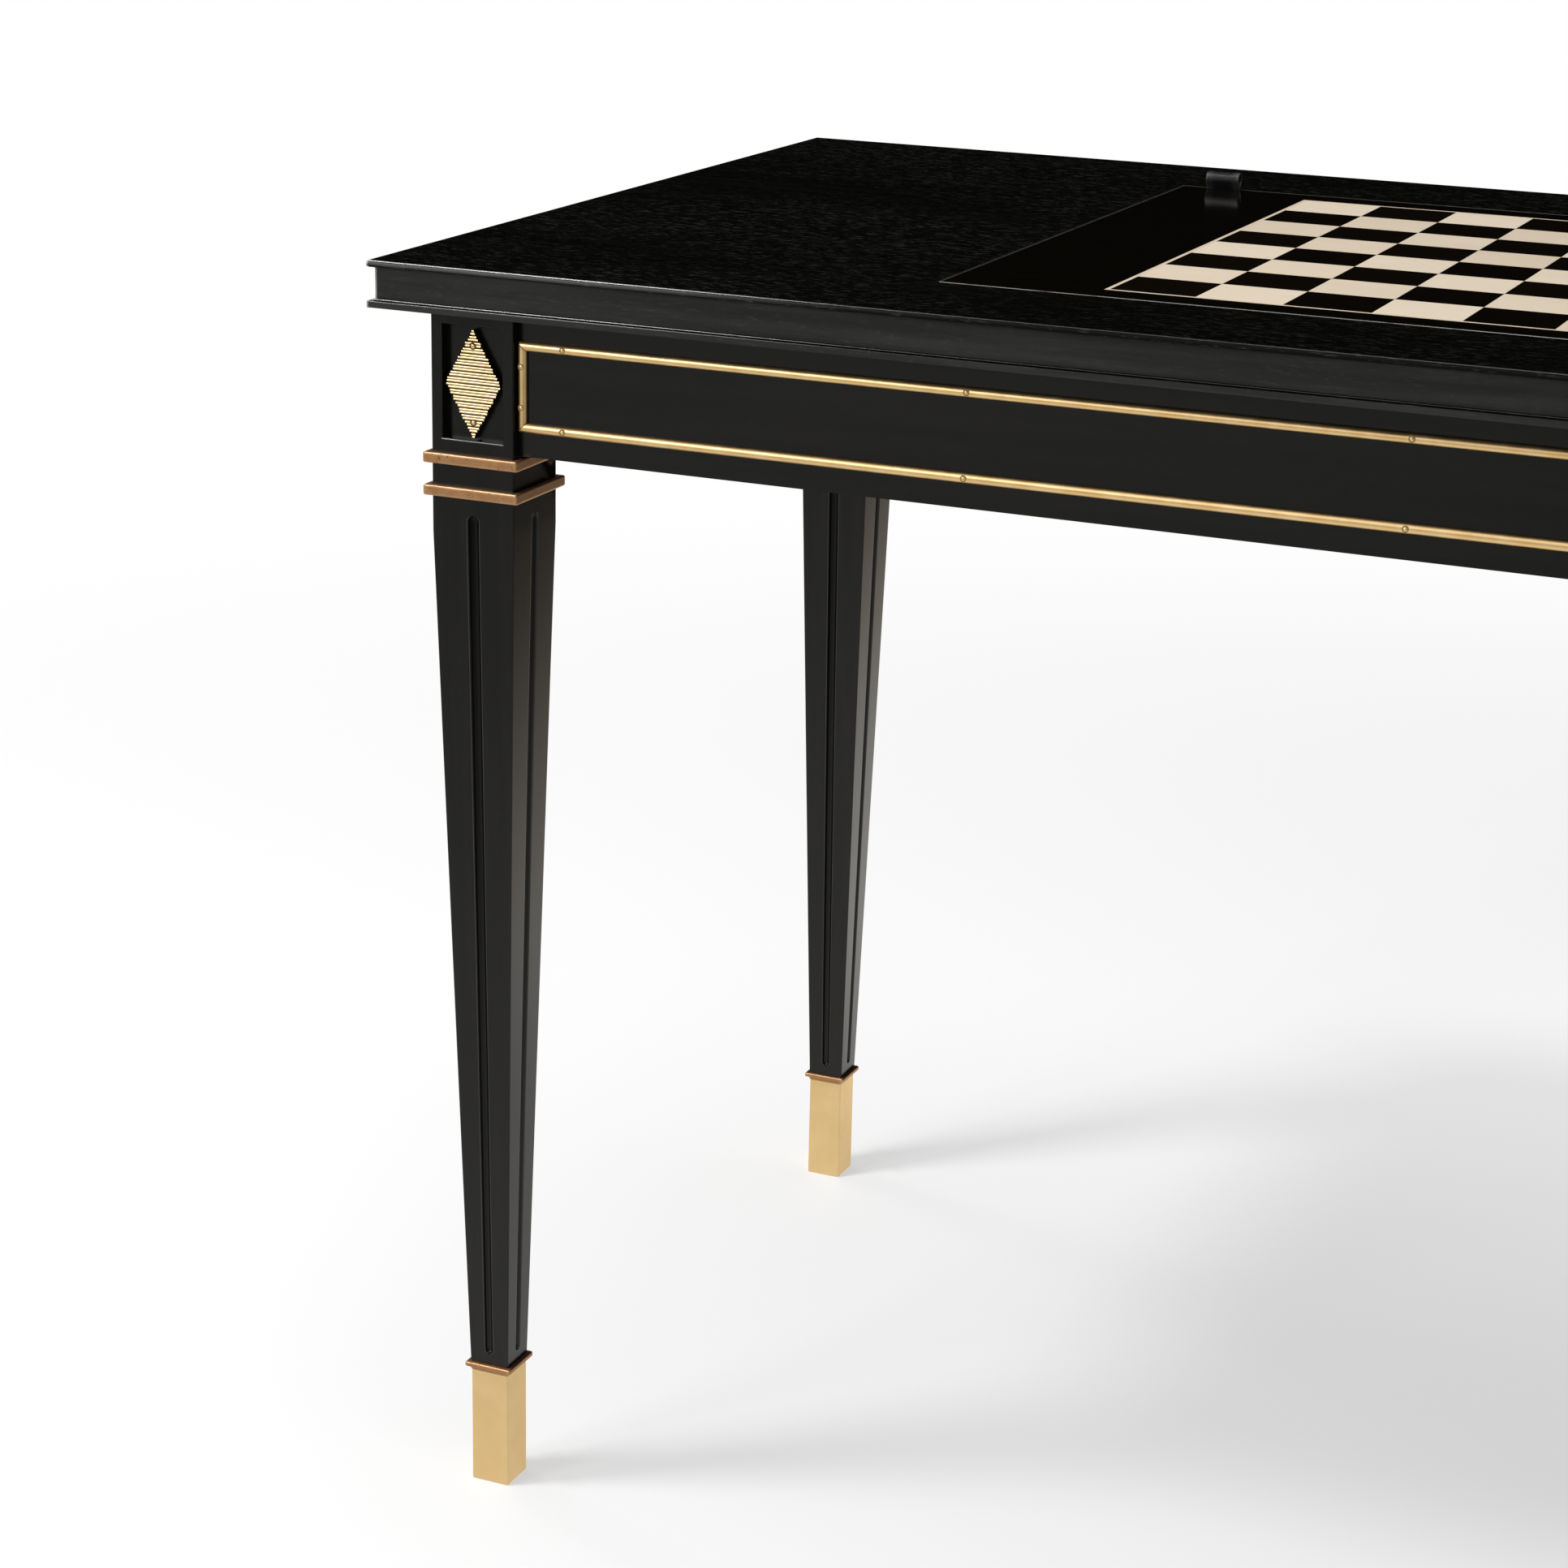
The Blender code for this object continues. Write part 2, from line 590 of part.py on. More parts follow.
def leg_mesh():
    """A leg about its own axis, with its outer faces towards -X and -Y."""
    spigot = SABOT_INNER_HALF - SPIGOT_CLEARANCE
    blank = loft("leg_blank", [
        (BLOCK_HALF, BLOCK_HALF, FRAME_TOP_Z),
        (BLOCK_HALF, BLOCK_HALF, TAPER_TOP_Z),
        (ANKLE_HALF, ANKLE_HALF, ANKLE_Z),
        (spigot, spigot, ANKLE_Z),
        (spigot, spigot, SABOT_FLOOR + SEAT_GAP),
    ], LEG_ARRIS)
    return cut_from("leg", blank, leg_cutters())


def collar_mesh():
    """A square gilt collar, its outer edges softly rounded, standing on its underside."""
    outer, inner = BLOCK_HALF + COLLAR_PROUD, BLOCK_HALF + SEAT_GAP
    upper = arc((outer - COLLAR_ROUND, COLLAR_HEIGHT - COLLAR_ROUND), COLLAR_ROUND, 90, 0, 3)
    lower = arc((outer - COLLAR_ROUND, COLLAR_ROUND), COLLAR_ROUND, 0, -90, 3)
    profile = upper + lower + [(inner, 0), (inner, COLLAR_HEIGHT)]
    return loft("collar", [(half, half, z) for half, z in profile], LEG_ARRIS, ring=True)


def foot_collar_mesh():
    """The small moulded collar between ankle and sabot, standing on its underside."""
    outer, inner = SABOT_HALF + FOOT_COLLAR_PROUD, SABOT_INNER_HALF
    nose_z = FOOT_COLLAR_HEIGHT - FOOT_COLLAR_ROUND
    upper = arc((outer - FOOT_COLLAR_ROUND, nose_z), FOOT_COLLAR_ROUND, 90, 0, 3)
    under = arc((outer, 0), FOOT_COLLAR_HEIGHT / 2, 90, 180, 3)
    profile = upper + under + [(inner, 0), (inner, FOOT_COLLAR_HEIGHT)]
    return loft("foot_collar", [(half, half, z) for half, z in profile], LEG_ARRIS, ring=True)


def sabot_mesh():
    """The brass sabot, a square cup over the spigot, from its inner floor up and round."""
    inner, outer = SABOT_INNER_HALF, SABOT_HALF
    profile = [
        (inner, SABOT_FLOOR),
        (inner, SABOT_HEIGHT),
        (outer, SABOT_HEIGHT),
        (outer, SABOT_ARRIS),
        (outer - SABOT_ARRIS, 0),
    ]
    return loft("sabot", [(half, half, z) for half, z in profile], SABOT_ARRIS)


def diamond_mesh():
    """A brass diamond with level ribs, its back at y = 0 and its ribs towards -Y."""
    half_width = RECESS_HALF_WIDTH - DIAMOND_SIDE_MARGIN
    half_height = (RECESS_TOP_Z - RECESS_LOW_Z) / 2 - DIAMOND_TIP_MARGIN
    steps = 2 * DIAMOND_RIBS
    sections = []
    for step in range(steps + 1):
        z = half_height * (1 - 2 * step / steps)
        rise = DIAMOND_RIB_RISE if step % 2 else 0
        taper = 1 - abs(z) / half_height
        half_x = DIAMOND_TIP_HALF_WIDTH + (half_width - DIAMOND_TIP_HALF_WIDTH) * taper
        sections.append((half_x + rise * taper, (DIAMOND_BASE + rise) / 2, z))
    bm = bmesh.new()
    add_loft(bm, sections)
    for vert in bm.verts:
        vert.co.y = min(2 * vert.co.y, 0)
    return mesh_from("diamond", bm)


def make_legs():
    """Four legs with their collars, sabots and diamonds, each set about its own empty."""
    leg, collar, foot_collar = leg_mesh(), collar_mesh(), foot_collar_mesh()
    sabot, diamond = sabot_mesh(), diamond_mesh()
    diamond_z = (RECESS_LOW_Z + RECESS_TOP_Z) / 2
    seat = Matrix.Translation((0, -BLOCK_HALF + RECESS_DEPTH - SEAT_GAP, diamond_z))
    for turns, corner in enumerate(CORNERS):
        x = -LEG_X if corner.endswith("left") else LEG_X
        y = -LEG_Y if corner.startswith("front") else LEG_Y
        axis = place_empty("axis_of_" + corner, Matrix.Translation((x, y, 0)) @ quarter_turn(turns))
        place("leg_" + corner, leg, EBONISED_WOOD, axis)
        upper = Matrix.Translation((0, 0, NECK_TOP_Z))
        place("upper_collar_" + corner, collar, COPPER_GILT, axis, upper)
        lower = Matrix.Translation((0, 0, LOWER_COLLAR_LOW_Z))
        place("lower_collar_" + corner, collar, COPPER_GILT, axis, lower)
        foot = Matrix.Translation((0, 0, FOOT_COLLAR_LOW_Z))
        place("foot_collar_" + corner, foot_collar, COPPER_GILT, axis, foot)
        place("sabot_" + corner, sabot, SATIN_BRASS, axis)
        for turn in (0, -1):
            name = "diamond_" + corner + "_facing_" + FACES[turns + turn]
            place(name, diamond, POLISHED_BRASS, axis, quarter_turn(turn) @ seat)


def rail_mesh(name, half_length):
    """A rail with a tenon at each end, its outer face at y = 0."""
    bm = bmesh.new()
    add_box(bm, (-half_length, 0, RAIL_LOW_Z), (half_length, RAIL_THICKNESS, FRAME_TOP_Z))
    bm.normal_update()
    ends = [face for face in bm.faces if round(face.normal.x)]
    bmesh.ops.inset_individual(bm, faces=ends, thickness=TENON_SHOULDER, use_even_offset=True)
    for end in ends:
        outward = end.normal.copy()
        made = bmesh.ops.extrude_discrete_faces(bm, faces=[end])["faces"]
        bmesh.ops.translate(bm, verts=made[0].verts, vec=outward * TENON_LENGTH)
    return mesh_from(name, bm)


def brass_mesh(name, outer_length):
    """A mitred half-round strip along X, its flat at y = 0 and its long edge towards +Z."""
    bm = bmesh.new()
    along_x = Matrix.Rotation(radians(90), 4, "Y")
    bmesh.ops.create_cone(bm, cap_ends=True, segments=BRASS_SIDES, radius1=BRASS_WIDTH / 2,
                          radius2=BRASS_WIDTH / 2, depth=outer_length, matrix=along_x)
    whole = bm.verts[:] + bm.edges[:] + bm.faces[:]
    bmesh.ops.bisect_plane(bm, geom=whole, dist=WELD, plane_co=(0, 0, 0),
                           plane_no=(0, 1, 0), clear_outer=True)
    rim = [edge for edge in bm.edges if edge.is_boundary]
    bmesh.ops.holes_fill(bm, edges=rim)
    for vert in bm.verts:
        mitre = BRASS_WIDTH / 2 - vert.co.z + SEAT_GAP / 2
        vert.co.x -= mitre if vert.co.x > 0 else -mitre
    return mesh_from(name, bm)


def make_rails():
    """Four rails, each with a frame of four brass strips on its outer face."""
    frame_low = RAIL_LOW_Z + BRASS_BOTTOM_MARGIN
    frame_top = FRAME_TOP_Z - BRASS_TOP_MARGIN
    middle_z = (frame_low + frame_top) / 2
    end_strip = brass_mesh("end_strip", frame_top - frame_low)
    for turns, face in enumerate(FACES):
        along, across = (LEG_X, LEG_Y) if turns % 2 == 0 else (LEG_Y, LEG_X)
        half_length = along - BLOCK_HALF - SEAT_GAP
        outward = Matrix.Translation((0, -across - RAIL_FACE_OFFSET, 0))
        seat = quarter_turn(turns) @ outward
        place("rail_" + face, rail_mesh("rail_" + face, half_length), EBONISED_WOOD, matrix=seat)
        long_strip = brass_mesh("long_strip_" + face, 2 * half_length)
        edge_x = half_length - BRASS_WIDTH / 2
        top_z, low_z = frame_top - BRASS_WIDTH / 2, frame_low + BRASS_WIDTH / 2
        strips = {
            "top": (long_strip, 0, top_z, 0),
            "bottom": (long_strip, 0, low_z, 180),
            "left": (end_strip, -edge_x, middle_z, -90),
            "right": (end_strip, edge_x, middle_z, 90),
        }
        for side, (mesh, x, z, degrees) in strips.items():
            stand = Matrix.Translation((x, -SEAT_GAP, z)) @ Matrix.Rotation(radians(degrees), 4, "Y")
            place("brass_" + face + "_" + side, mesh, POLISHED_BRASS, matrix=seat @ stand)


clear_scene()
table = new_collection("games_table")
cutters = new_collection("cutters")
lift_out = place_empty("lift_out_panel", Matrix.Identity(4))

make_top_surround()
make_panel()
make_chess_field()
make_pull_tabs()
make_games_well()
make_legs()
make_rails()
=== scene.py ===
"""Games table with a lift-out chess panel: its looks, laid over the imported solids.

Metres, +Z up, front towards -Y, origin on the floor under the middle of the top.
"""

from math import asin, cos, pi, radians, sin, sqrt

import bmesh
import bpy
from mathutils import Matrix, Vector


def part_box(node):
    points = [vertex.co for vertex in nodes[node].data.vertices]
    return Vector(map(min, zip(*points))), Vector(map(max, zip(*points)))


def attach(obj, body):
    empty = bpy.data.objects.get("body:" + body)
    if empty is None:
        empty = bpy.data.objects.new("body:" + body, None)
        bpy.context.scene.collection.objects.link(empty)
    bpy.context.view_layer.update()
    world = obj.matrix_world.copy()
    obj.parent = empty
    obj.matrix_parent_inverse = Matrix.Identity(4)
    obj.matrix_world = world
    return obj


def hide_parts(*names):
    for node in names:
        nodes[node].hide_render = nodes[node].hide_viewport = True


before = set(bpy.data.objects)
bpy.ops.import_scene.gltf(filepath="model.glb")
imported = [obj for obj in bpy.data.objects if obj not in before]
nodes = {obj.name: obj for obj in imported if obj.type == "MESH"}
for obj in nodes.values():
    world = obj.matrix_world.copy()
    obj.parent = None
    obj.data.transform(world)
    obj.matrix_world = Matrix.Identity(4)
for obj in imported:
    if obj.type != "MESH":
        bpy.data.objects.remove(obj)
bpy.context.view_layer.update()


# Legs. Each is one stick of hardwood: a square block with two sunk panels, a straight neck,
# then a taper with a half-round flute down every face. The arrises are sanded round, and
# the whole is stained black and polished to a satin.
SHAFT_TOP_Z = 0.650
TAPER_TOP_Z = 0.6064
ANKLE_Z = 0.0810
ANKLE_HALF = 0.01285
SHAFT_LOW_Z = 0.0785
ARRIS = 0.0008
FLUTE_TOP_Z, FLUTE_TOP_RADIUS = 0.6176, 0.0038
FLUTE_LOW_Z, FLUTE_LOW_RADIUS = 0.0880, 0.0027
FLUTE_LIP = 0.00025
FLUTE_MARGIN = 0.0003
# Painted highlight: the flute lips are tinted pale grey where the light catches them.
LIP_HIGHLIGHT = 0.26
# Painted shade: each flute's hollow loses its sheen, most on one wall and less near the floor.
HOLLOW_SHADE = (1.0, 1.0, 0.8, 0.5, 0.35, 0.35, 0.5)
SHADE_AT_FLOOR = 0.30
RECESS_MARGIN = 0.007
RECESS_LOW_Z = 0.6607
RECESS_TOP_Z = 0.7256
RECESS_DEPTH = 0.006
RECESS_LIP = 0.0008
SHARP_DEGREES = 35
LEG_GRAIN = (1, 1, 0.05)
STAIN_DARK = (0.0030, 0.0028, 0.0026)
STAIN_PALE = (0.0052, 0.0049, 0.0045)
FLECK_GREY = (0.045, 0.044, 0.040)
EDGE_HIGHLIGHT_GREY = (0.30, 0.295, 0.285)


class Wire:
    """A node socket that takes arithmetic. Its node method adds any other node to its tree."""

    def __init__(self, tree, socket=None):
        self.tree, self.socket = tree, socket

    def node(self, kind, inputs=None, output=0, **settings):
        """Adds a node, with its settings first and then the values or wires of its sockets."""
        made = self.tree.nodes.new(kind)
        for name, value in settings.items():
            setattr(made, name, value)
        for name, value in (inputs or {}).items():
            if isinstance(value, Wire):
                self.tree.links.new(value.socket, made.inputs[name])
            else:
                made.inputs[name].default_value = value
        return Wire(self.tree, made.outputs[output])

    def also(self, output):
        """Another output of the node that this wire leaves."""
        return Wire(self.tree, self.socket.node.outputs[output])

    def math(self, operation, *values):
        return self.node("ShaderNodeMath", dict(enumerate(values)), operation=operation)

    def __add__(self, other):
        return self.math("ADD", self, other)

    def __sub__(self, other):
        return self.math("SUBTRACT", self, other)

    def __rsub__(self, other):
        return self.math("SUBTRACT", other, self)

    def __mul__(self, other):
        return self.math("MULTIPLY", self, other)

    def __truediv__(self, other):
        return self.math("DIVIDE", self, other)

    def __abs__(self):
        return self.math("ABSOLUTE", self)

    __radd__, __rmul__ = __add__, __mul__

    def parts(self):
        """This vector's x, y and z."""
        x = self.node("ShaderNodeSeparateXYZ", {0: self})
        return x, x.also("Y"), x.also("Z")

    def vector(self, x=0.0, y=0.0, z=0.0):
        """A vector put together in this wire's tree."""
        return self.node("ShaderNodeCombineXYZ", {"X": x, "Y": y, "Z": z})

    def above(self, low, high):
        """0 below low, 1 above high, and smooth between them."""
        span = {"Value": self, "From Min": low, "From Max": high}
        return self.node("ShaderNodeMapRange", span, interpolation_type="SMOOTHSTEP")

    def tint(self, dark, light):
        """A colour that goes from dark to light as this wire goes from 0 to 1."""
        dark, light = [c if isinstance(c, Wire) else (*c, 1) for c in (dark, light)]
        return self.node("ShaderNodeMix", {0: self, 6: dark, 7: light}, 2, data_type="RGBA")

    def noise(self, scale, detail=2, roughness=0.5):
        """Noise over this vector, with lumps about 1 / scale metres across."""
        lumps = {"Vector": self, "Scale": scale, "Detail": detail, "Roughness": roughness}
        return self.node("ShaderNodeTexNoise", lumps)

    def stretched(self, scale):
        """This vector with its axes scaled: a pattern runs long where the scale is small."""
        return self.node("ShaderNodeMapping", {"Vector": self, "Scale": scale})


class Finish:
    """A Principled material, with what is the same all over set on its shader."""

    def __init__(self, name, **constants):
        self.material = bpy.data.materials.new(name)
        self.material.use_nodes = True
        self.tree = self.material.node_tree
        self.shader = self.tree.nodes["Principled BSDF"]
        for socket, value in constants.items():
            self.shader.inputs[socket.replace("_", " ")].default_value = value
        self.place = Wire(self.tree).node("ShaderNodeTexCoord", output="Object")

    def attribute(self, name):
        return self.place.node("ShaderNodeAttribute", output="Fac", attribute_name=name)

    def feed(self, **wires):
        for socket, wire in wires.items():
            self.tree.links.new(wire.socket, self.shader.inputs[socket.replace("_", " ")])

    def relief(self, height, depth):
        """A bumped surface, where height 0 lies that depth under height 1."""
        bump = {"Height": height, "Distance": depth, "Strength": 1.0}
        self.feed(Normal=self.place.node("ShaderNodeBump", bump))


def ebonised(name, grain, flecks=0.25, polish=0.22, gloss=0.68, edge=0.35):
    """Black polished wood, its sheen taken away where painted shade is marked and tinted pale grey where
    a painted highlight is marked. Its grain runs along one axis.
    """
    black = Finish(name, Specular_IOR_Level=0.02, Coat_Roughness=polish)
    along = black.place.stretched(grain)
    pores = along.noise(1500, 2, 0.6).above(0.56, 0.70)
    figure = along.noise(130, 4, 0.6).above(0.35, 0.70)
    patches = black.place.noise(5, 2).above(0.34, 0.62)
    dashes = black.place.stretched([min(4 * share, 1) for share in grain]).noise(900, 2, 0.7)
    pale = dashes.above(0.56, 0.68) * (patches * flecks)
    # Painted highlight: marked edges are tinted towards pale grey.
    worn = black.attribute("worn") * along.noise(60, 3).above(0.15, 0.50)
    stain = pale.tint(figure.tint(STAIN_DARK, STAIN_PALE), FLECK_GREY)
    # Painted shade: where marked, the coat is taken away so that the hollow reads darker.
    shine = (1 - black.attribute("dull") * 0.85) * (1 - pores * 0.12) * gloss
    black.feed(Base_Color=(worn * edge).tint(stain, EDGE_HIGHLIGHT_GREY),
               Roughness=polish + pores * 0.08, Coat_Weight=shine)
    black.relief(1 - pores * 0.7 - figure * 0.3, 0.000015)
    return black.material


def settled(name, mesh, kind, set_up):
    """The plain mesh that one modifier makes of a mesh."""
    carrier = bpy.data.objects.new(name, mesh)
    bpy.context.scene.collection.objects.link(carrier)
    set_up(carrier.modifiers.new(name, kind))
    bpy.context.view_layer.update()
    graph = bpy.context.evaluated_depsgraph_get()
    made = bpy.data.meshes.new_from_object(carrier.evaluated_get(graph), depsgraph=graph)
    bpy.data.objects.remove(carrier)
    made.name = name
    return made


def tidy_mesh(name, bm, sharp=SHARP_DEGREES):
    """Closes a bmesh into a mesh, faces outwards, its flats shaded flat up to their rounds."""
    bmesh.ops.remove_doubles(bm, verts=bm.verts, dist=0.000001)
    bmesh.ops.recalc_face_normals(bm, faces=bm.faces)
    mesh = bpy.data.meshes.new(name)
    bm.to_mesh(mesh)
    bm.free()
    mesh.shade_smooth()
    mesh.set_sharp_from_angle(angle=radians(sharp))
    return settled(name, mesh, "WEIGHTED_NORMAL", lambda weighted: setattr(weighted, "keep_sharp", True))


def fit(name, mesh, material, body, slot, *stands_for, at=Matrix.Identity(4)):
    """Fits one finished piece: its place goes into its mesh, and it rides on a body."""
    mesh = mesh.copy()
    mesh.transform(at)
    mesh.materials.clear()
    mesh.materials.append(material)
    piece = bpy.data.objects.new(name, mesh)
    bpy.context.scene.collection.objects.link(piece)
    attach(piece, body)
    if stands_for:
        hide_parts(*stands_for)
    return piece


def turned(count):
    """A rotation by quarter turns about the vertical."""
    return Matrix.Rotation(radians(90 * count), 4, "Z")


def leg_half(z):
    """Half the width of a leg at a height."""
    share = min((z - ANKLE_Z) / (TAPER_TOP_Z - ANKLE_Z), 1)
    return ANKLE_HALF + share * (block_half - ANKLE_HALF)


def flute_radius(z):
    """Half the width of a flute at a height, round at its head and its foot."""
    top_z, low_z = FLUTE_TOP_Z - FLUTE_TOP_RADIUS, FLUTE_LOW_Z + FLUTE_LOW_RADIUS
    share = min(max((z - low_z) / (top_z - low_z), 0), 1)
    radius = FLUTE_LOW_RADIUS + share * (FLUTE_TOP_RADIUS - FLUTE_LOW_RADIUS)
    past = max(z - top_z, low_z - z, 0)
    return sqrt(max(radius**2 - past**2, 0))


def leg_section(z):
    """Points round a leg at a height, as (point, painted highlight, painted shade): on each face
    a round arris, then a flute whose lips carry a painted highlight and whose hollow loses its
    sheen as painted shade, most on one wall and less towards the foot."""
    half, groove = leg_half(z), flute_radius(z)
    lip = min(FLUTE_LIP, groove * 0.3)
    start = asin(lip / groove) if groove > 0.00001 else 0
    open_here = float(groove > FLUTE_LIP)
    wear_and_highlight_share = open_here * LIP_HIGHLIGHT
    hollow_shade = open_here * (SHADE_AT_FLOOR + (1 - SHADE_AT_FLOOR) * z / SHAFT_TOP_Z)
    side = []
    for step in range(4):
        angle = pi + pi / 2 * step / 3
        side.append((ARRIS - half + ARRIS * cos(angle), ARRIS - half + ARRIS * sin(angle), 0, 0))
    side.append((-groove - lip - FLUTE_MARGIN, -half, 0, 0))
    for step in range(3):
        angle = pi / 4 * step
        side.append((-groove - lip + lip * sin(angle), -half + lip - lip * cos(angle), wear_and_highlight_share, 0))
    for step, dull in enumerate(HOLLOW_SHADE, 1):
        angle = start + (pi - 2 * start) * step / (len(HOLLOW_SHADE) + 1)
        side.append((-groove * cos(angle), -half + groove * sin(angle), 0, dull * hollow_shade))
    for step in range(3):
        angle = pi / 4 * step
        side.append((groove + lip * (1 - cos(angle)), -half + lip * (1 - sin(angle)), wear_and_highlight_share, 0))
    side.append((groove + lip + FLUTE_MARGIN, -half, 0, 0))
    return [(turned(turn) @ Vector((x, y, z)), worn, dull)
            for turn in range(4) for x, y, worn, dull in side]


def leg_heights():
    """Heights of a leg's sections, close together at both ends of the flutes."""
    heights = [SHAFT_TOP_Z, TAPER_TOP_Z, SHAFT_LOW_Z]
    for step in range(7):
        bend = 1 - cos(pi / 2 * step / 6)
        heights += [FLUTE_TOP_Z - FLUTE_TOP_RADIUS * bend, FLUTE_LOW_Z + FLUTE_LOW_RADIUS * bend]
    return sorted(heights, reverse=True)


def skin(bm, rings, capped=True):
    """Faces from ring to ring, with the ends capped or else joined to each other."""
    rings = [[bm.verts.new(point) for point in ring] for ring in rings]
    for low, high in zip(rings, rings[1:] if capped else rings[1:] + rings[:1]):
        for k in range(len(low)):
            bm.faces.new((low[k - 1], low[k], high[k], high[k - 1]))
    if capped:
        bm.faces.new(rings[0])
        bm.faces.new(rings[-1])
    return rings


def add_block(bm, worn, dull):
    """The block at the head of a leg, with a sunk panel in each of its two outer faces. The
    lip below each panel is painted pale as a highlight, and the panel's sides lose their
    sheen as painted shade."""
    height, middle = block_top - SHAFT_TOP_Z, (block_top + SHAFT_TOP_Z) / 2
    size = Matrix.Diagonal((2 * block_half, 2 * block_half, height, 1))
    place = Matrix.Translation((0, 0, middle)) @ size
    block = bmesh.ops.create_cube(bm, size=1, matrix=place)["verts"]
    bm.normal_update()
    arrises = [edge for edge in bm.edges
               if edge.verts[0] in block and edge.calc_length() > (height + 2 * block_half) / 2]
    outer = [face for face in bm.faces
             if face.verts[0] in block and min(face.normal.x, face.normal.y) < -0.5]
    lips = []
    for face in outer:
        bmesh.ops.inset_individual(bm, faces=[face], thickness=RECESS_MARGIN, use_even_offset=True)
        for vert in face.verts:
            vert.co.z = RECESS_TOP_Z if vert.co.z > middle else RECESS_LOW_Z
        inward = face.normal * -RECESS_DEPTH
        lips += face.edges[:]
        floor = bmesh.ops.extrude_discrete_faces(bm, faces=[face])["faces"][0]
        bmesh.ops.translate(bm, verts=floor.verts, vec=inward)
    rounding = {"segments": 3, "profile": 0.5, "affect": "EDGES"}
    bmesh.ops.bevel(bm, geom=arrises, offset=ARRIS, **rounding)
    for vert in bmesh.ops.bevel(bm, geom=lips, offset=RECESS_LIP, **rounding)["verts"]:
        sunk = block_half + min(vert.co.x, vert.co.y)
        past_lip = sunk > RECESS_LIP * 0.9
        # Painted highlight: the lower lip of each sunk panel is tinted pale.
        vert[worn] = float(sunk > 0.00001 and not past_lip and vert.co.z < RECESS_LOW_Z)
        # Painted shade: the sides of each sunk panel lose their sheen.
        vert[dull] = float(past_lip)
    cut = bmesh.ops.bisect_plane(bm, geom=bm.verts[:] + bm.edges[:] + bm.faces[:],
                                 plane_co=(0, 0, RECESS_LOW_Z + RECESS_LIP / 2), plane_no=(0, 0, 1))
    for element in cut["geom_cut"]:
        if isinstance(element, bmesh.types.BMVert):
            element[worn] = 0.0


leg_black = ebonised("leg_black", LEG_GRAIN, flecks=0.05, gloss=0.61, edge=0.6)
low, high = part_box("leg_front_left")
block_half, block_top = (high.x - low.x) / 2, high.z
stick = bmesh.new()
layers = [stick.verts.layers.float.new(layer) for layer in ("worn", "dull")]
sections = [leg_section(z) for z in leg_heights()]
for ring, section in zip(skin(stick, [[point for point, *_ in s] for s in sections]), sections):
    for vert, (_, *marks) in zip(ring, section):
        for layer, mark in zip(layers, marks):
            vert[layer] = mark
add_block(stick, *layers)
leg = tidy_mesh("leg", stick)
corners = {}
for turns, corner in enumerate(("front_left", "front_right", "back_right", "back_left")):
    low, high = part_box("leg_" + corner)
    axis = Matrix.Translation(((low.x + high.x) / 2, (low.y + high.y) / 2, 0)) @ turned(turns)
    fit(corner + "_leg", leg, leg_black, "table", "ebonised_wood", "leg_" + corner, at=axis)
    corners[corner] = axis


# Gilt collars. Two square bands of copper-gilt wood round the neck of each leg and a smaller
# one over its sabot, mitred at the corners, with soft edges where the gilding has rubbed.
COLLAR_HALF = 0.030
COLLAR_HEIGHT = 0.006
COLLAR_ROUND = 0.0008
COLLAR_CORNER = 0.0012
COLLAR_WALL = 0.0036
UPPER_COLLAR_Z = 0.6464
LOWER_COLLAR_Z = 0.6276
FOOT_COLLAR_Z = 0.0755
FOOT_COLLAR_HALF = 0.01555
FOOT_COLLAR_HEIGHT = 0.0052
FOOT_COLLAR_ROUND = 0.0009
FOOT_COLLAR_COVE = 0.0026
FOOT_COLLAR_RUB = 0.2
CORNER_REACH = 0.0012
GILT_DARK, GILT_PALE = (0.380, 0.200, 0.092), (0.455, 0.248, 0.120)
GILT_RUBBED = (0.70, 0.46, 0.28)
GILT_SPECK = (0.035, 0.018, 0.010)


def rounded(half_x, half_y, z, radius, worn=0.0, corner=1.0):
    """A level rectangle with round corners, as (point, how strongly it is marked there for use and
    painted highlight).
    """
    points = []
    for turn, (side_x, side_y) in enumerate(((1, 1), (-1, 1), (-1, -1), (1, -1))):
        centre = Vector((side_x * (half_x - radius), side_y * (half_y - radius), z))
        arm = turned(turn).to_3x3()
        points.append((centre + arm @ Vector((radius, -CORNER_REACH, 0)), worn))
        for step in range(4):
            angle = pi / 2 * step / 3
            place = centre + arm @ Vector((radius * cos(angle), radius * sin(angle), 0))
            points.append((place, max(worn, corner)))
        points.append((centre + arm @ Vector((-CORNER_REACH, radius, 0)), worn))
    return points


def moulded(name, sections, capped=False):
    """A mesh skinned over rounded rectangles, with its marks of use and painted highlight kept in an
    attribute.
    """
    bm = bmesh.new()
    worn = bm.verts.layers.float.new("worn")
    rings = skin(bm, [[point for point, _ in ring] for ring in sections], capped)
    for verts, ring in zip(rings, sections):
        for vert, (_, wear_and_highlight_share) in zip(verts, ring):
            vert[worn] = wear_and_highlight_share
    return tidy_mesh(name, bm)


def arc(centre, radius, start, end, steps=4):
    """Points of an arc in a plane, its angles in degrees."""
    angles = [radians(start + (end - start) * step / steps) for step in range(steps + 1)]
    return [(centre[0] + radius * cos(a), centre[1] + radius * sin(a)) for a in angles]


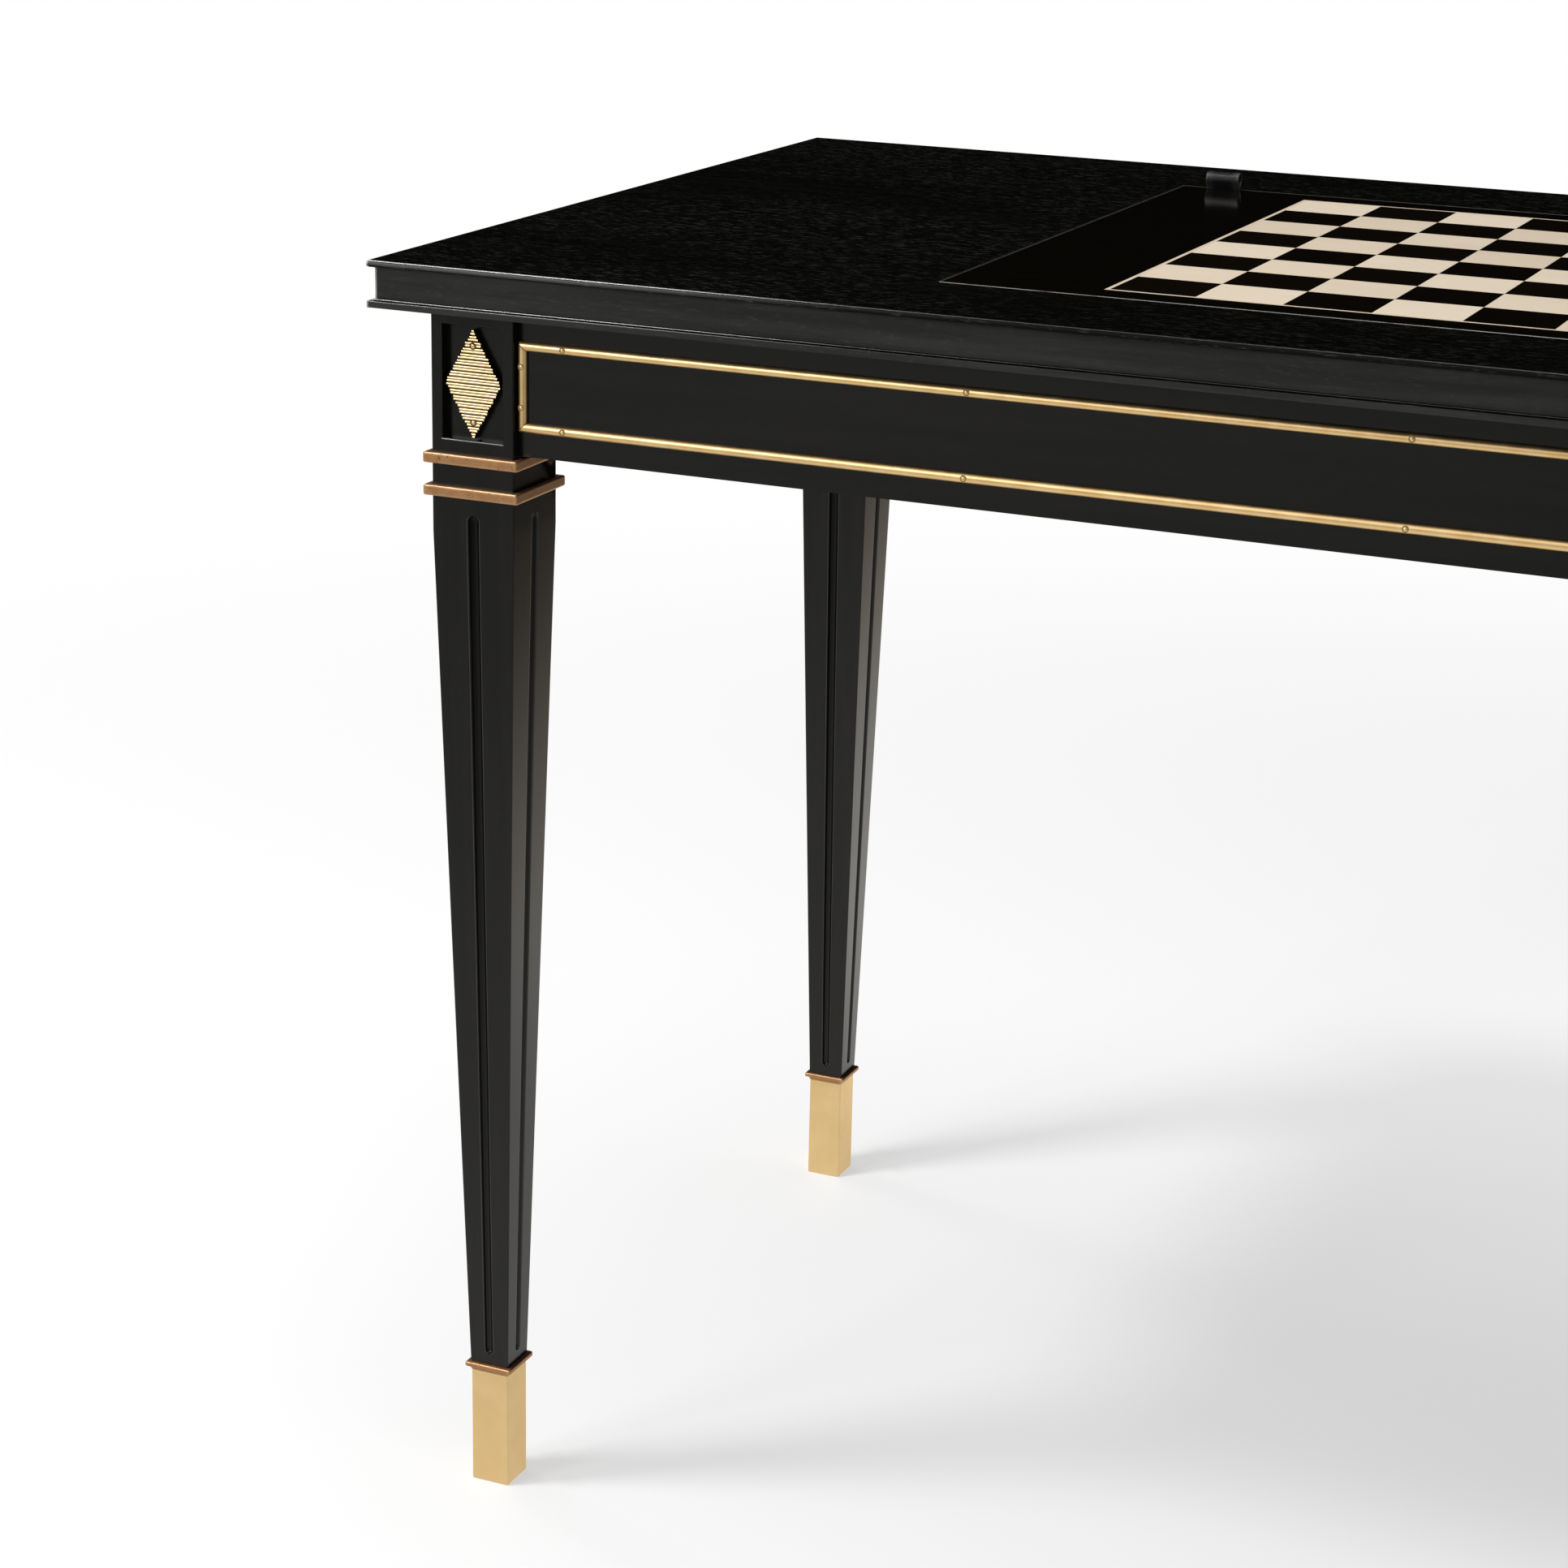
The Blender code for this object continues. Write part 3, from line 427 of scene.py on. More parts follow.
def collar(name, half, height, radius, cove=0, rub=1.0):
    """A collar standing on its underside: a ring with its outer edges rubbed, and either a
    round or a cove under its nose."""
    bore = half - COLLAR_WALL
    profile = [(x, z, rub) for x, z in arc((half - radius, height - radius), radius, 90, 0)]
    profile.append((half, height - 2 * radius, 0.0))
    if cove:
        profile += [(x, z, 0.0) for x, z in arc((half, 0), cove, 90, 180)]
    else:
        profile.append((half, 2 * radius, 0.0))
        profile += [(x, z, rub) for x, z in arc((half - radius, radius), radius, 0, -90)]
    profile += [(bore, 0, 0.0), (bore, height, 0.0), (half - 2 * radius, height, 0.0)]
    return moulded(name, [rounded(x, x, z, COLLAR_CORNER, worn) for x, z, worn in profile])


def gilding(name):
    """Copper-brown gilding, specked with dark size and rubbed paler on its edges."""
    gilt = Finish(name, Metallic=1.0)
    clouds = gilt.place.noise(220, 3, 0.6).above(0.25, 0.75)
    specks = gilt.place.noise(900, 2).above(0.66, 0.72)
    rubbed = gilt.attribute("worn") * gilt.place.noise(40, 3).above(0.20, 0.50)
    leaf = (rubbed * 0.45).tint(clouds.tint(GILT_DARK, GILT_PALE), GILT_RUBBED)
    gilt.feed(Base_Color=(specks * 0.85).tint(leaf, GILT_SPECK),
              Roughness=0.48 + clouds * 0.03 + specks * 0.3)
    gilt.relief(1 - specks, 0.00004)
    return gilt.material


copper_gilt = gilding("copper_gilt")
neck_band = collar("collar", COLLAR_HALF, COLLAR_HEIGHT, COLLAR_ROUND)
foot_band = collar("foot_collar", FOOT_COLLAR_HALF, FOOT_COLLAR_HEIGHT, FOOT_COLLAR_ROUND,
                   cove=FOOT_COLLAR_COVE, rub=FOOT_COLLAR_RUB)
bands = (("upper_collar", neck_band, UPPER_COLLAR_Z), ("lower_collar", neck_band, LOWER_COLLAR_Z),
         ("foot_collar", foot_band, FOOT_COLLAR_Z))
for corner, axis in corners.items():
    for kind, band, z in bands:
        fit(corner + "_" + kind, band, copper_gilt, "table", "copper_gilt", kind + "_" + corner,
            at=axis @ Matrix.Translation((0, 0, z)))


# Sabots. A square brass shoe on each foot, cast hollow over the leg's spigot, filed flat and
# left satin, with soft arrises.
SABOT_HALF = 0.01235
SABOT_HEIGHT = 0.0752
SABOT_ARRIS = 0.0007
SABOT_TOP_EASE = 0.0002
SATIN_DARK, SATIN_PALE = (0.790, 0.565, 0.275), (0.830, 0.605, 0.312)


def satin_brass_of(name):
    """Pale satin brass, drawn up and down with a fine abrasive."""
    brass = Finish(name, Metallic=1.0)
    drawn = brass.place.stretched((1, 1, 0.06)).noise(900, 3, 0.6)
    clouds = brass.place.noise(45, 3).above(0.30, 0.70)
    brass.feed(Base_Color=clouds.tint(SATIN_DARK, SATIN_PALE), Roughness=0.44 + drawn * 0.10)
    brass.relief(drawn, 0.00002)
    return brass.material


satin_brass = satin_brass_of("satin_brass")
inner_half = SABOT_HALF - SABOT_ARRIS
profile = [(inner_half, SABOT_HEIGHT), (SABOT_HALF, SABOT_HEIGHT - SABOT_TOP_EASE)]
profile += arc((inner_half, SABOT_ARRIS), SABOT_ARRIS, 0, -90)
shoe = moulded("sabot", [rounded(x, x, z, SABOT_ARRIS) for x, z in profile], capped=True)
for corner, axis in corners.items():
    fit(corner + "_sabot", shoe, satin_brass, "table", "satin_brass", "sabot_" + corner, at=axis)


# Brass diamonds. In each sunk panel a brass lozenge reeded with level ribs, its edge left
# serrated where the ribs end, and held by two round-headed pins.
DIAMOND_HALF_WIDTH = 0.0173
DIAMOND_HALF_HEIGHT = 0.0310
DIAMOND_PLATE = 0.0036
DIAMOND_RIBS = 36
RIB_RISE = 0.0009
RIB_PAIRED = 0.22
RIB_RAGGED = 0.00045
RIB_STUB = 0.0006
RIB_SHORTEST = 0.0004
DIAMOND_PIN_OFFSET = 0.0217
DIAMOND_PIN_RADIUS = 0.0014
DIAMOND_PIN_RIM = 1.45
PIN_RISE = 0.0006
SHADE_AND_TARNISH_BROWN = (0.075, 0.036, 0.012)
DIAMOND_DARK, DIAMOND_PALE = (0.83, 0.615, 0.32), (0.92, 0.735, 0.43)
# Painted shade: the plate behind the ribs is coloured near black, so that its sides read as the dark
# band beside the brass.
PLATE_SHADE_DARK, PLATE_SHADE_PALE = (0.020, 0.013, 0.007), (0.034, 0.022, 0.011)
FACES = ("front", "right", "back", "left")


class Recipe:
    """A Geometry Nodes tree with named sizes, which makes a plain mesh from them."""

    def __init__(self, name, **sizes):
        self.tree = bpy.data.node_groups.new(name, "GeometryNodeTree")
        self.tree.interface.new_socket("Mesh", in_out="OUTPUT", socket_type="NodeSocketGeometry")
        kinds = {float: "NodeSocketFloat", int: "NodeSocketInt"}
        self.sizes = sizes
        for size, value in sizes.items():
            self.tree.interface.new_socket(size, in_out="INPUT", socket_type=kinds[type(value)])
        self.start = Wire(self.tree).node("NodeGroupInput")
        self.node, self.math, self.vector = self.start.node, self.start.math, self.start.vector

    def size(self, name):
        return self.start.also(name)

    def index(self):
        return self.node("GeometryNodeInputIndex")

    def position(self):
        return self.node("GeometryNodeInputPosition")

    def random(self, index, low, high, seed):
        """A number between low and high for each index, the same in each run."""
        return self.node("FunctionNodeRandomValue", {2: low, 3: high, "ID": index, "Seed": seed},
                         1, data_type="FLOAT")

    def placed(self, shape, **fields):
        """The shape with each point's Position set, or with an Offset."""
        return self.node("GeometryNodeSetPosition", {0: shape, **fields})

    def reshaped(self, shape, **change):
        """The whole shape with a Rotation, Scale or Translation."""
        return self.node("GeometryNodeTransform", {0: shape, **change})

    def cylinder(self, vertices, radius, depth):
        sizes = {"Vertices": vertices, "Radius": radius, "Depth": depth}
        return self.node("GeometryNodeMeshCylinder", sizes)

    def marked(self, shape, name, value):
        """The shape with a number kept on each of its points."""
        return self.node("GeometryNodeStoreNamedAttribute", {0: shape, "Name": name, "Value": value},
                         data_type="FLOAT", domain="POINT")

    def smooth(self, shape):
        return self.node("GeometryNodeSetShadeSmooth", {0: shape, "Shade Smooth": True})

    def joined(self, *shapes):
        """Several shapes as one."""
        both = self.node("GeometryNodeJoinGeometry")
        for shape in shapes:
            self.tree.links.new(shape.socket, both.socket.node.inputs[0])
        return both

    def repeated(self, points, shape, **fields):
        """A copy of the shape on each point."""
        return self.node("GeometryNodeInstanceOnPoints", {0: points, "Instance": shape, **fields})

    def row(self):
        """Count points in a level row about the middle, Spacing apart."""
        along = (self.index() - (self.size("Count") - 1) * 0.5) * self.size("Spacing")
        points = self.node("GeometryNodePoints", {"Count": self.size("Count")})
        return self.placed(points, Position=self.vector(x=along))

    def serve(self, shape, material):
        """Ends the tree with real geometry in one material."""
        real = self.node("GeometryNodeRealizeInstances", {0: shape})
        painted = self.node("GeometryNodeSetMaterial", {0: real, "Material": material})
        end = self.tree.nodes.new("NodeGroupOutput")
        self.tree.links.new(painted.socket, end.inputs[0])
        return self

    def make(self, name, **sizes):
        """The plain mesh that the tree makes from its sizes, or from others given here."""
        values = {**self.sizes, **sizes}

        def set_up(modifier):
            modifier.node_group = self.tree
            for item in self.tree.interface.items_tree:
                if item.in_out == "INPUT":
                    modifier[item.identifier] = values[item.name]

        mesh = settled(name, bpy.data.meshes.new(name), "NODES", set_up)
        mesh.set_sharp_from_angle(angle=radians(SHARP_DEGREES))
        return mesh


def brass_finish(name, dark, pale, polish, groove):
    """Lacquered brass, gently clouded, and browner where the groove attribute marks it: painted shade
    with some tarnish, in grooves and at the edges of parts.
    """
    brass = Finish(name, Metallic=1.0)
    clouds = brass.place.noise(60, 3, 0.6).above(0.30, 0.72)
    groove_shade = brass.attribute("groove").above(0.45, 0.98) * groove
    brass.feed(Base_Color=groove_shade.tint(clouds.tint(dark, pale), SHADE_AND_TARNISH_BROWN),
               Roughness=polish + clouds * 0.04)
    brass.relief(brass.place.noise(500, 2), 0.000003)
    return brass.material


def reeded_lozenge(material):
    """The reeded face: level ribs from point to point, each as long as the lozenge is wide at
    its height and a little ragged. Every second groove is narrower, so the ribs pair up."""
    reeds = Recipe("reeded_lozenge", HalfWidth=DIAMOND_HALF_WIDTH, HalfHeight=DIAMOND_HALF_HEIGHT,
                   Ribs=DIAMOND_RIBS, Rise=RIB_RISE, Plate=DIAMOND_PLATE, Ragged=RIB_RAGGED,
                   Paired=RIB_PAIRED)
    half_height, index = reeds.size("HalfHeight"), reeds.index()
    radius = half_height / reeds.size("Ribs")
    second = reeds.math("MODULO", index, 2)
    steps_down = index * 2 + 1 - (second - 0.5) * reeds.size("Paired")
    rib_z = half_height - steps_down * radius
    width = (1 - abs(rib_z) / half_height) * reeds.size("HalfWidth")
    ragged = reeds.random(index, -1.0, 1.0, seed=7) * reeds.size("Ragged")
    reach = reeds.math("MAXIMUM", width + ragged - radius * 0.3, RIB_SHORTEST)
    points = reeds.node("GeometryNodePoints", {"Count": reeds.size("Ribs")})
    points = reeds.placed(points, Position=reeds.vector(y=reeds.size("Plate") * -1, z=rib_z))
    points = reeds.marked(points, "reach", reach)
    rod = reeds.reshaped(reeds.cylinder(12, radius, RIB_STUB), Rotation=(0, pi / 2, 0))
    rod = reeds.reshaped(rod, Scale=reeds.vector(1.0, reeds.size("Rise") / radius, 1.0))
    # Painted shade with some patina: browner down each groove between the ribs.
    rod = reeds.marked(rod, "groove", abs(reeds.position().parts()[2]) / radius)
    ribs = reeds.node("GeometryNodeRealizeInstances", {0: reeds.repeated(points, rod)})
    stored = reeds.node("GeometryNodeInputNamedAttribute", {"Name": "reach"}, data_type="FLOAT")
    side = reeds.math("SIGN", reeds.position().parts()[0])
    ribs = reeds.placed(ribs, Offset=reeds.vector(x=side * stored))
    return reeds.serve(reeds.smooth(ribs), material)


def lozenge_plate(material):
    """The plate behind the ribs, standing on its back."""
    plate = Recipe("lozenge_plate", HalfWidth=DIAMOND_HALF_WIDTH, HalfHeight=DIAMOND_HALF_HEIGHT,
                   Plate=DIAMOND_PLATE)
    size = plate.vector(plate.size("HalfWidth"), plate.size("HalfHeight"), plate.size("Plate"))
    lozenge = plate.reshaped(plate.cylinder(4, 1.0, 1.0), Scale=size)
    lozenge = plate.reshaped(lozenge, Rotation=(pi / 2, 0, 0),
                             Translation=plate.vector(y=plate.size("Plate") * -0.5))
    return plate.serve(lozenge, material)


def pin_row(material):
    """A row of round-headed pins, each with a dark rim of painted shade where it meets the brass."""
    pins = Recipe("pin_row", Count=2, Spacing=0.1, Radius=DIAMOND_PIN_RADIUS, Rise=PIN_RISE,
                  Rim=DIAMOND_PIN_RIM)
    radius, rise = pins.size("Radius"), pins.size("Rise")
    head = pins.node("GeometryNodeMeshUVSphere", {"Segments": 14, "Rings": 8, "Radius": radius})
    head = pins.reshaped(head, Rotation=(pi / 2, 0, 0))
    head = pins.reshaped(head, Scale=pins.vector(1.0, rise / radius, 1.0))
    # Painted shade: a dark rim round each head.
    rim = pins.cylinder(14, radius * pins.size("Rim"), rise * 0.5)
    rim = pins.marked(pins.reshaped(rim, Rotation=(pi / 2, 0, 0)), "groove", 1.0)
    row = pins.repeated(pins.row(), pins.joined(head, rim))
    return pins.serve(pins.smooth(row), material)


def wall_seat(low, high, facing):
    """Where a piece is mounted flat on a face of the table: the middle of its back."""
    middle = (low + high) / 2
    x = {"right": low.x, "left": high.x}.get(facing, middle.x)
    y = {"front": high.y, "back": low.y}.get(facing, middle.y)
    return Matrix.Translation((x, y, middle.z)) @ turned(FACES.index(facing))


diamond_brass = brass_finish("diamond_brass", DIAMOND_DARK, DIAMOND_PALE, 0.30, 0.9)
# Painted shade: a near-black plate.
plate_brass = brass_finish("plate_brass", PLATE_SHADE_DARK, PLATE_SHADE_PALE, 0.45, 0.0)
pins = pin_row(diamond_brass)
ribs = reeded_lozenge(diamond_brass).make("ribs")
backing = lozenge_plate(plate_brass).make("plate")
diamond_pins = pins.make("diamond_pins", Spacing=2 * DIAMOND_PIN_OFFSET)
crest = Matrix.Translation((0, -DIAMOND_PLATE - RIB_RISE, 0)) @ Matrix.Rotation(pi / 2, 4, "Y")
for node in sorted(name for name in nodes if name.startswith("diamond_")):
    low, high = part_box(node)
    high.z = low.z + 2 * DIAMOND_HALF_HEIGHT
    seat = wall_seat(low, high, node.rsplit("_", 1)[1])
    spot = node[len("diamond_"):]
    fit(spot + "_lozenge", backing, plate_brass, "table", "polished_brass", node, at=seat)
    fit(spot + "_ribs", ribs, diamond_brass, "table", "polished_brass", at=seat)
    fit(spot + "_pins", diamond_pins, diamond_brass, "table", "polished_brass", at=seat @ crest)


# Rails. Four boards tenoned between the blocks, stained and polished like the legs, with
# their grain along their length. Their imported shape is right, so they only get their finish.
ALONG_X, ALONG_Y = (0.05, 1, 1), (1, 0.05, 1)


def dress(material, *names):
    """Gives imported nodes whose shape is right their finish."""
    for name in names:
        for slot in nodes[name].material_slots:
            slot.link = "OBJECT"
            slot.material = material


dress(ebonised("rail_long_black", ALONG_X, flecks=0.05), "rail_front", "rail_back")
dress(ebonised("rail_short_black", ALONG_Y, flecks=0.05), "rail_left", "rail_right")


# Brass frames. On the face of each rail a frame of half-round brass, mitred at the corners
# and held by small round-headed pins.
STRIP_WIDTH = 0.0058
STRIP_GAP = 0.0003
STRIP_SIDES = {"top": 0, "bottom": 180, "left": -90, "right": 90}
STRIP_DARK, STRIP_PALE = (0.84, 0.565, 0.255), (0.93, 0.68, 0.35)
LONG_PINS, SHORT_PINS, END_PINS = 5, 3, 2
LEVEL_PIN_MARGIN = 0.0285
END_PIN_SPACING = 0.023
STRIP_PIN_RADIUS = 0.00125
STRIP_PIN_RIM = 1.5
STRIP_PIN_SINK = 0.0001


def mitred_strip(material):
    """A half-round bar lying along X, its flat back at y = 0 and its ends cut to a mitre."""
    strip = Recipe("mitred_strip", Length=1.0, Width=STRIP_WIDTH, Gap=STRIP_GAP)
    half_length, half_width = strip.size("Length") * 0.5, strip.size("Width") * 0.5
    ends = {"Start": strip.vector(x=half_length * -1), "End": strip.vector(x=half_length)}
    line = strip.node("GeometryNodeCurvePrimitiveLine", ends)
    round_bar = strip.node("GeometryNodeCurvePrimitiveCircle",
                           {"Resolution": 28, "Radius": half_width}, mode="RADIUS")
    bar = strip.node("GeometryNodeCurveToMesh", {0: line, 1: round_bar, "Fill Caps": True})
    x, y, z = strip.position().parts()
    mitre = half_width - z + strip.size("Gap") * 0.5
    bar = strip.placed(bar, Position=strip.vector(
        x - strip.math("SIGN", x) * mitre, strip.math("MINIMUM", y, 0.0), z))
    # Painted shade with some tarnish: browner along the bar's upper and lower edges.
    bar = strip.marked(bar, "groove", strip.math("POWER", abs(z) / half_width, 3.0))
    return strip.serve(strip.smooth(bar), material)


strip_brass = brass_finish("strip_brass", STRIP_DARK, STRIP_PALE, 0.38, 0.6)
strip = mitred_strip(strip_brass)
proud = Matrix.Translation((0, STRIP_PIN_SINK - STRIP_WIDTH / 2, 0))
for face in FACES:
    for side, tilt in STRIP_SIDES.items():
        node = "brass_" + face + "_" + side
        low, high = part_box(node)
        length = max(high - low)
        seat = wall_seat(low, high, face) @ Matrix.Rotation(radians(tilt), 4, "Y")
        bar = strip.make("strip", Length=length)
        fit(face + "_" + side + "_strip", bar, strip_brass, "table", "polished_brass", node, at=seat)
        if side in ("top", "bottom"):
            count = LONG_PINS if face in ("front", "back") else SHORT_PINS
            spacing = (length - 2 * LEVEL_PIN_MARGIN) / (count - 1)
        else:
            count, spacing = END_PINS, END_PIN_SPACING
        heads = pins.make("pins", Count=count, Spacing=spacing, Radius=STRIP_PIN_RADIUS,
                          Rim=STRIP_PIN_RIM)
        fit(face + "_" + side + "_pins", heads, strip_brass, "table", "polished_brass",
            at=seat @ proud)


# Top. A moulded surround of open-grained wood, stained black and waxed: a nosed lip, a flat
# fascia and a lower bead, round the opening that takes the lift-out panel.
LIP_HEIGHT = 0.0039
LIP_LEAN = 0.0004
LIP_NOSE = 0.0048
LIP_TOP_ROUND = 0.0008
LIP_LOW_ROUND = 0.0014
NOSE_WEAR_AND_HIGHLIGHT = 0.12
OVERHANG = 0.0036
COVE = 0.0011
STEP_HEIGHT = 0.0009
STEP_WIDTH = 0.0013
STEP_ROUND = 0.0004
STEP_FILLET = 0.0002
BEAD_HEIGHT = 0.0037
BEAD_ROUND = 0.0005
BEAD_WEAR_AND_HIGHLIGHT = 0.35
TOP_CORNER = 0.0004
FASCIA_TOP_Z = 0.7575
LEDGE_Z = 0.7398
OPENING_ARRIS = 0.0005
OPENING_GAP = 0.0008
TOP_DARK, TOP_PALE = (0.0013, 0.0013, 0.0011), (0.0024, 0.0024, 0.0020)
TOP_PORE = (0.027, 0.028, 0.025)
# Painted light: the fascia and bead face are coloured paler than the flat top, where the front catches
# the light.
FASCIA_LIT_DARK, FASCIA_LIT_PALE = (0.0235, 0.0235, 0.0220), (0.052, 0.052, 0.049)
TOP_WEAR_AND_HIGHLIGHT = (0.42, 0.415, 0.405)


def arc_of_wear_and_highlight(centre, radius, start, end, wear_and_highlight_share=1.0):
    """Points of a rounded arris, marked along its crest for use and painted highlight."""
    crest = (0.0, 0.9 * wear_and_highlight_share, wear_and_highlight_share, 0.9 * wear_and_highlight_share, 0.0)
    return [(x, z, worn) for (x, z), worn in zip(arc(centre, radius, start, end), crest)]


def edge_of_top(top, low):
    """The moulded edge, as (distance in from the lip, height, wear), from the top down."""
    lip_low, bead_top = top - LIP_HEIGHT, low + BEAD_HEIGHT
    step_in, step_top = OVERHANG - STEP_WIDTH, bead_top + STEP_HEIGHT
    nose = arc((LIP_NOSE, lip_low + LIP_LOW_ROUND), LIP_NOSE, 160, 180, 3)
    under = arc((LIP_LOW_ROUND, lip_low + LIP_LOW_ROUND), LIP_LOW_ROUND, 190, 270)
    cove = arc((OVERHANG - COVE, lip_low - COVE), COVE, 90, 0)
    return [
        *arc_of_wear_and_highlight((LIP_TOP_ROUND + LIP_LEAN, top - LIP_TOP_ROUND), LIP_TOP_ROUND, 90, 160),
        *((x, z, NOSE_WEAR_AND_HIGHLIGHT) for x, z in nose),
        *((x, z, 0.0) for x, z in under + cove),
        (OVERHANG, step_top + STEP_ROUND, 0.0),
        (OVERHANG, step_top, 0.0),
        *arc_of_wear_and_highlight((step_in + STEP_ROUND, step_top - STEP_ROUND), STEP_ROUND, 90, 180),
        (step_in, bead_top + STEP_FILLET, 0.0),
        (step_in, bead_top, 0.0),
        *arc_of_wear_and_highlight((BEAD_ROUND, bead_top - BEAD_ROUND), BEAD_ROUND, 90, 180, BEAD_WEAR_AND_HIGHLIGHT),
        (0, low + BEAD_ROUND, 0.0),
        (0, low, 0.0),
    ]


def top_finish(name):
    """The black of the top: open pores in the flat, a fascia painted paler as painted light, and
    rounded edges marked a little by use all round and painted with a pale highlight towards
    the left end of the table."""
    black = Finish(name, Specular_IOR_Level=0.03, Coat_Roughness=0.22)
    place = black.place
    x, _, z = place.parts()
    ledge = abs(z - LEDGE_Z).above(0.0005, 0.0010)
    fascia = (1 - z.above(FASCIA_TOP_Z, FASCIA_TOP_Z + 0.002)) * ledge
    # Painted highlight: 1 at the left end of the top, falling to 0 past it.
    highlight_at_left_end = 1 - x.above(-0.48, -0.28)
    along = place.stretched((0.06, 1, 1))
    patches = place.stretched((1, 1.6, 1)).noise(4, 2).above(0.28, 0.62)
    pores = place.stretched((0.14, 1, 1)).noise(850, 2, 0.75).above(0.57, 0.68)
    pores = pores * (patches * 0.85 + 0.15)
    figure = along.noise(110, 4, 0.6).above(0.35, 0.70)
    worn = black.attribute("worn")
    # Painted highlight, with a little real use: the crests of the rounded edges are tinted pale grey,
    # strongly towards the left end.
    rubbed = worn * along.noise(40, 3).above(0.10, 0.40) * (0.04 + highlight_at_left_end * 0.86)
    flat = pores.tint(figure.tint(TOP_DARK, TOP_PALE), TOP_PORE)
    # Painted light: the fascia is tinted paler than the flat.
    lit_fascia = (pores * 0.4 + figure * 0.4).tint(FASCIA_LIT_DARK, FASCIA_LIT_PALE)
    black.feed(Base_Color=rubbed.tint(fascia.tint(flat, lit_fascia), TOP_WEAR_AND_HIGHLIGHT),
               Roughness=0.26 + pores * 0.10 + fascia * 0.10, Coat_Weight=worn * 0.8)
    black.relief(1 - pores * 0.8 - figure * 0.2, 0.00003)
    return black.material


low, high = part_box("top_surround")
panel_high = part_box("game_panel")[1]


def outer_ring(inset, z, worn=0.0, corner=1.0):
    return rounded(high.x - inset, high.y - inset, z, TOP_CORNER, worn, corner)


def opening_ring(outset, z, worn=0.0):
    beyond = OPENING_GAP + outset
    return rounded(panel_high.x + beyond, panel_high.y + beyond, z, TOP_CORNER, worn, corner=0.0)


rings = [outer_ring(2 * LIP_TOP_ROUND, high.z, corner=0.0)]
rings += [outer_ring(*point) for point in edge_of_top(high.z, low.z)]
rings.append(opening_ring(0, low.z))
rings += [opening_ring(*point) for point in
          arc_of_wear_and_highlight((OPENING_ARRIS, high.z - OPENING_ARRIS), OPENING_ARRIS, 180, 90)]
rings.append(opening_ring(3 * OPENING_ARRIS, high.z))
fit("moulded_top", moulded("surround", rings), top_finish("top_black"), "table", "ebonised_wood",
    "top_surround")


# Games well. A shallow box under the panel, its sides and bottom black, with a bar across
# the middle. The bottom is held from below by slotted brass screws and lined with baize.
SCREW_RADIUS = 0.0032
SCREW_RISE = 0.0006
SCREW_SLOT = 0.0009
SCREW_SEAT = 1.12
SCREW_MARGIN = 0.009
LONG_SCREWS, SHORT_SCREWS = 5, 3
BAIZE_THICKNESS = 0.0011
BAIZE_NAP = 0.00015
BAIZE_DARK, BAIZE_PALE = (0.016, 0.017, 0.018), (0.042, 0.043, 0.046)


def screw_row(material):
    """A row of slotted screw heads: two halves of a disc, either side of the slot, on a dark
    seat, each turned its own way."""
    screws = Recipe("screw_row", Count=4, Spacing=0.12, Radius=SCREW_RADIUS, Rise=SCREW_RISE,
                    Slot=SCREW_SLOT)
    disc = screws.cylinder(16, screws.size("Radius"), screws.size("Rise"))
    x, y, z = screws.position().parts()
    edge = screws.size("Slot") * 0.5
    halves = [screws.placed(disc, Position=screws.vector(screws.math(*clamp), y, z))
              for clamp in (("MINIMUM", x, edge * -1), ("MAXIMUM", x, edge))]
    seat = screws.cylinder(16, screws.size("Radius") * SCREW_SEAT, screws.size("Rise") * 0.3)
    head = screws.joined(screws.marked(seat, "groove", 1.0), *halves)
    turn = screws.random(screws.index(), 0.0, 3.1, seed=5)
    row = screws.repeated(screws.row(), head, Rotation=screws.vector(z=turn))
    return screws.serve(row, material)


def baize_finish(name):
    """Dark wool baize, a felted nap with no weave showing."""
    baize = Finish(name, Specular_IOR_Level=0.2, Sheen_Weight=0.3, Roughness=0.95)
    nap = baize.place.noise(2600, 3, 0.7)
    mottle = nap * 0.6 + baize.place.noise(60, 3) * 0.4
    baize.feed(Base_Color=mottle.above(0.3, 0.7).tint(BAIZE_DARK, BAIZE_PALE))
    baize.relief(nap, 0.0003)
    return baize.material


dress(ebonised("well_black", ALONG_X, flecks=0.1, polish=0.5),
      "well_frame", "well_floor", "centre_bar")

low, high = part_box("well_floor")
screws = screw_row(strip_brass)
for turns, face in enumerate(FACES):
    edge = {"front": low.y, "right": high.x, "back": high.y, "left": low.x}[face]
    line = edge + SCREW_MARGIN if edge < 0 else edge - SCREW_MARGIN
    at_end = turns % 2
    place = (line, 0, low.z) if at_end else (0, line, low.z)
    count, length = (SHORT_SCREWS, high.y - low.y) if at_end else (LONG_SCREWS, high.x - low.x)
    heads = screws.make("screws", Count=count, Spacing=(length - 8 * SCREW_MARGIN) / (count - 1))
    fit("well_" + face + "_screws", heads, strip_brass, "table", "polished_brass",
        at=Matrix.Translation(place) @ turned(at_end))

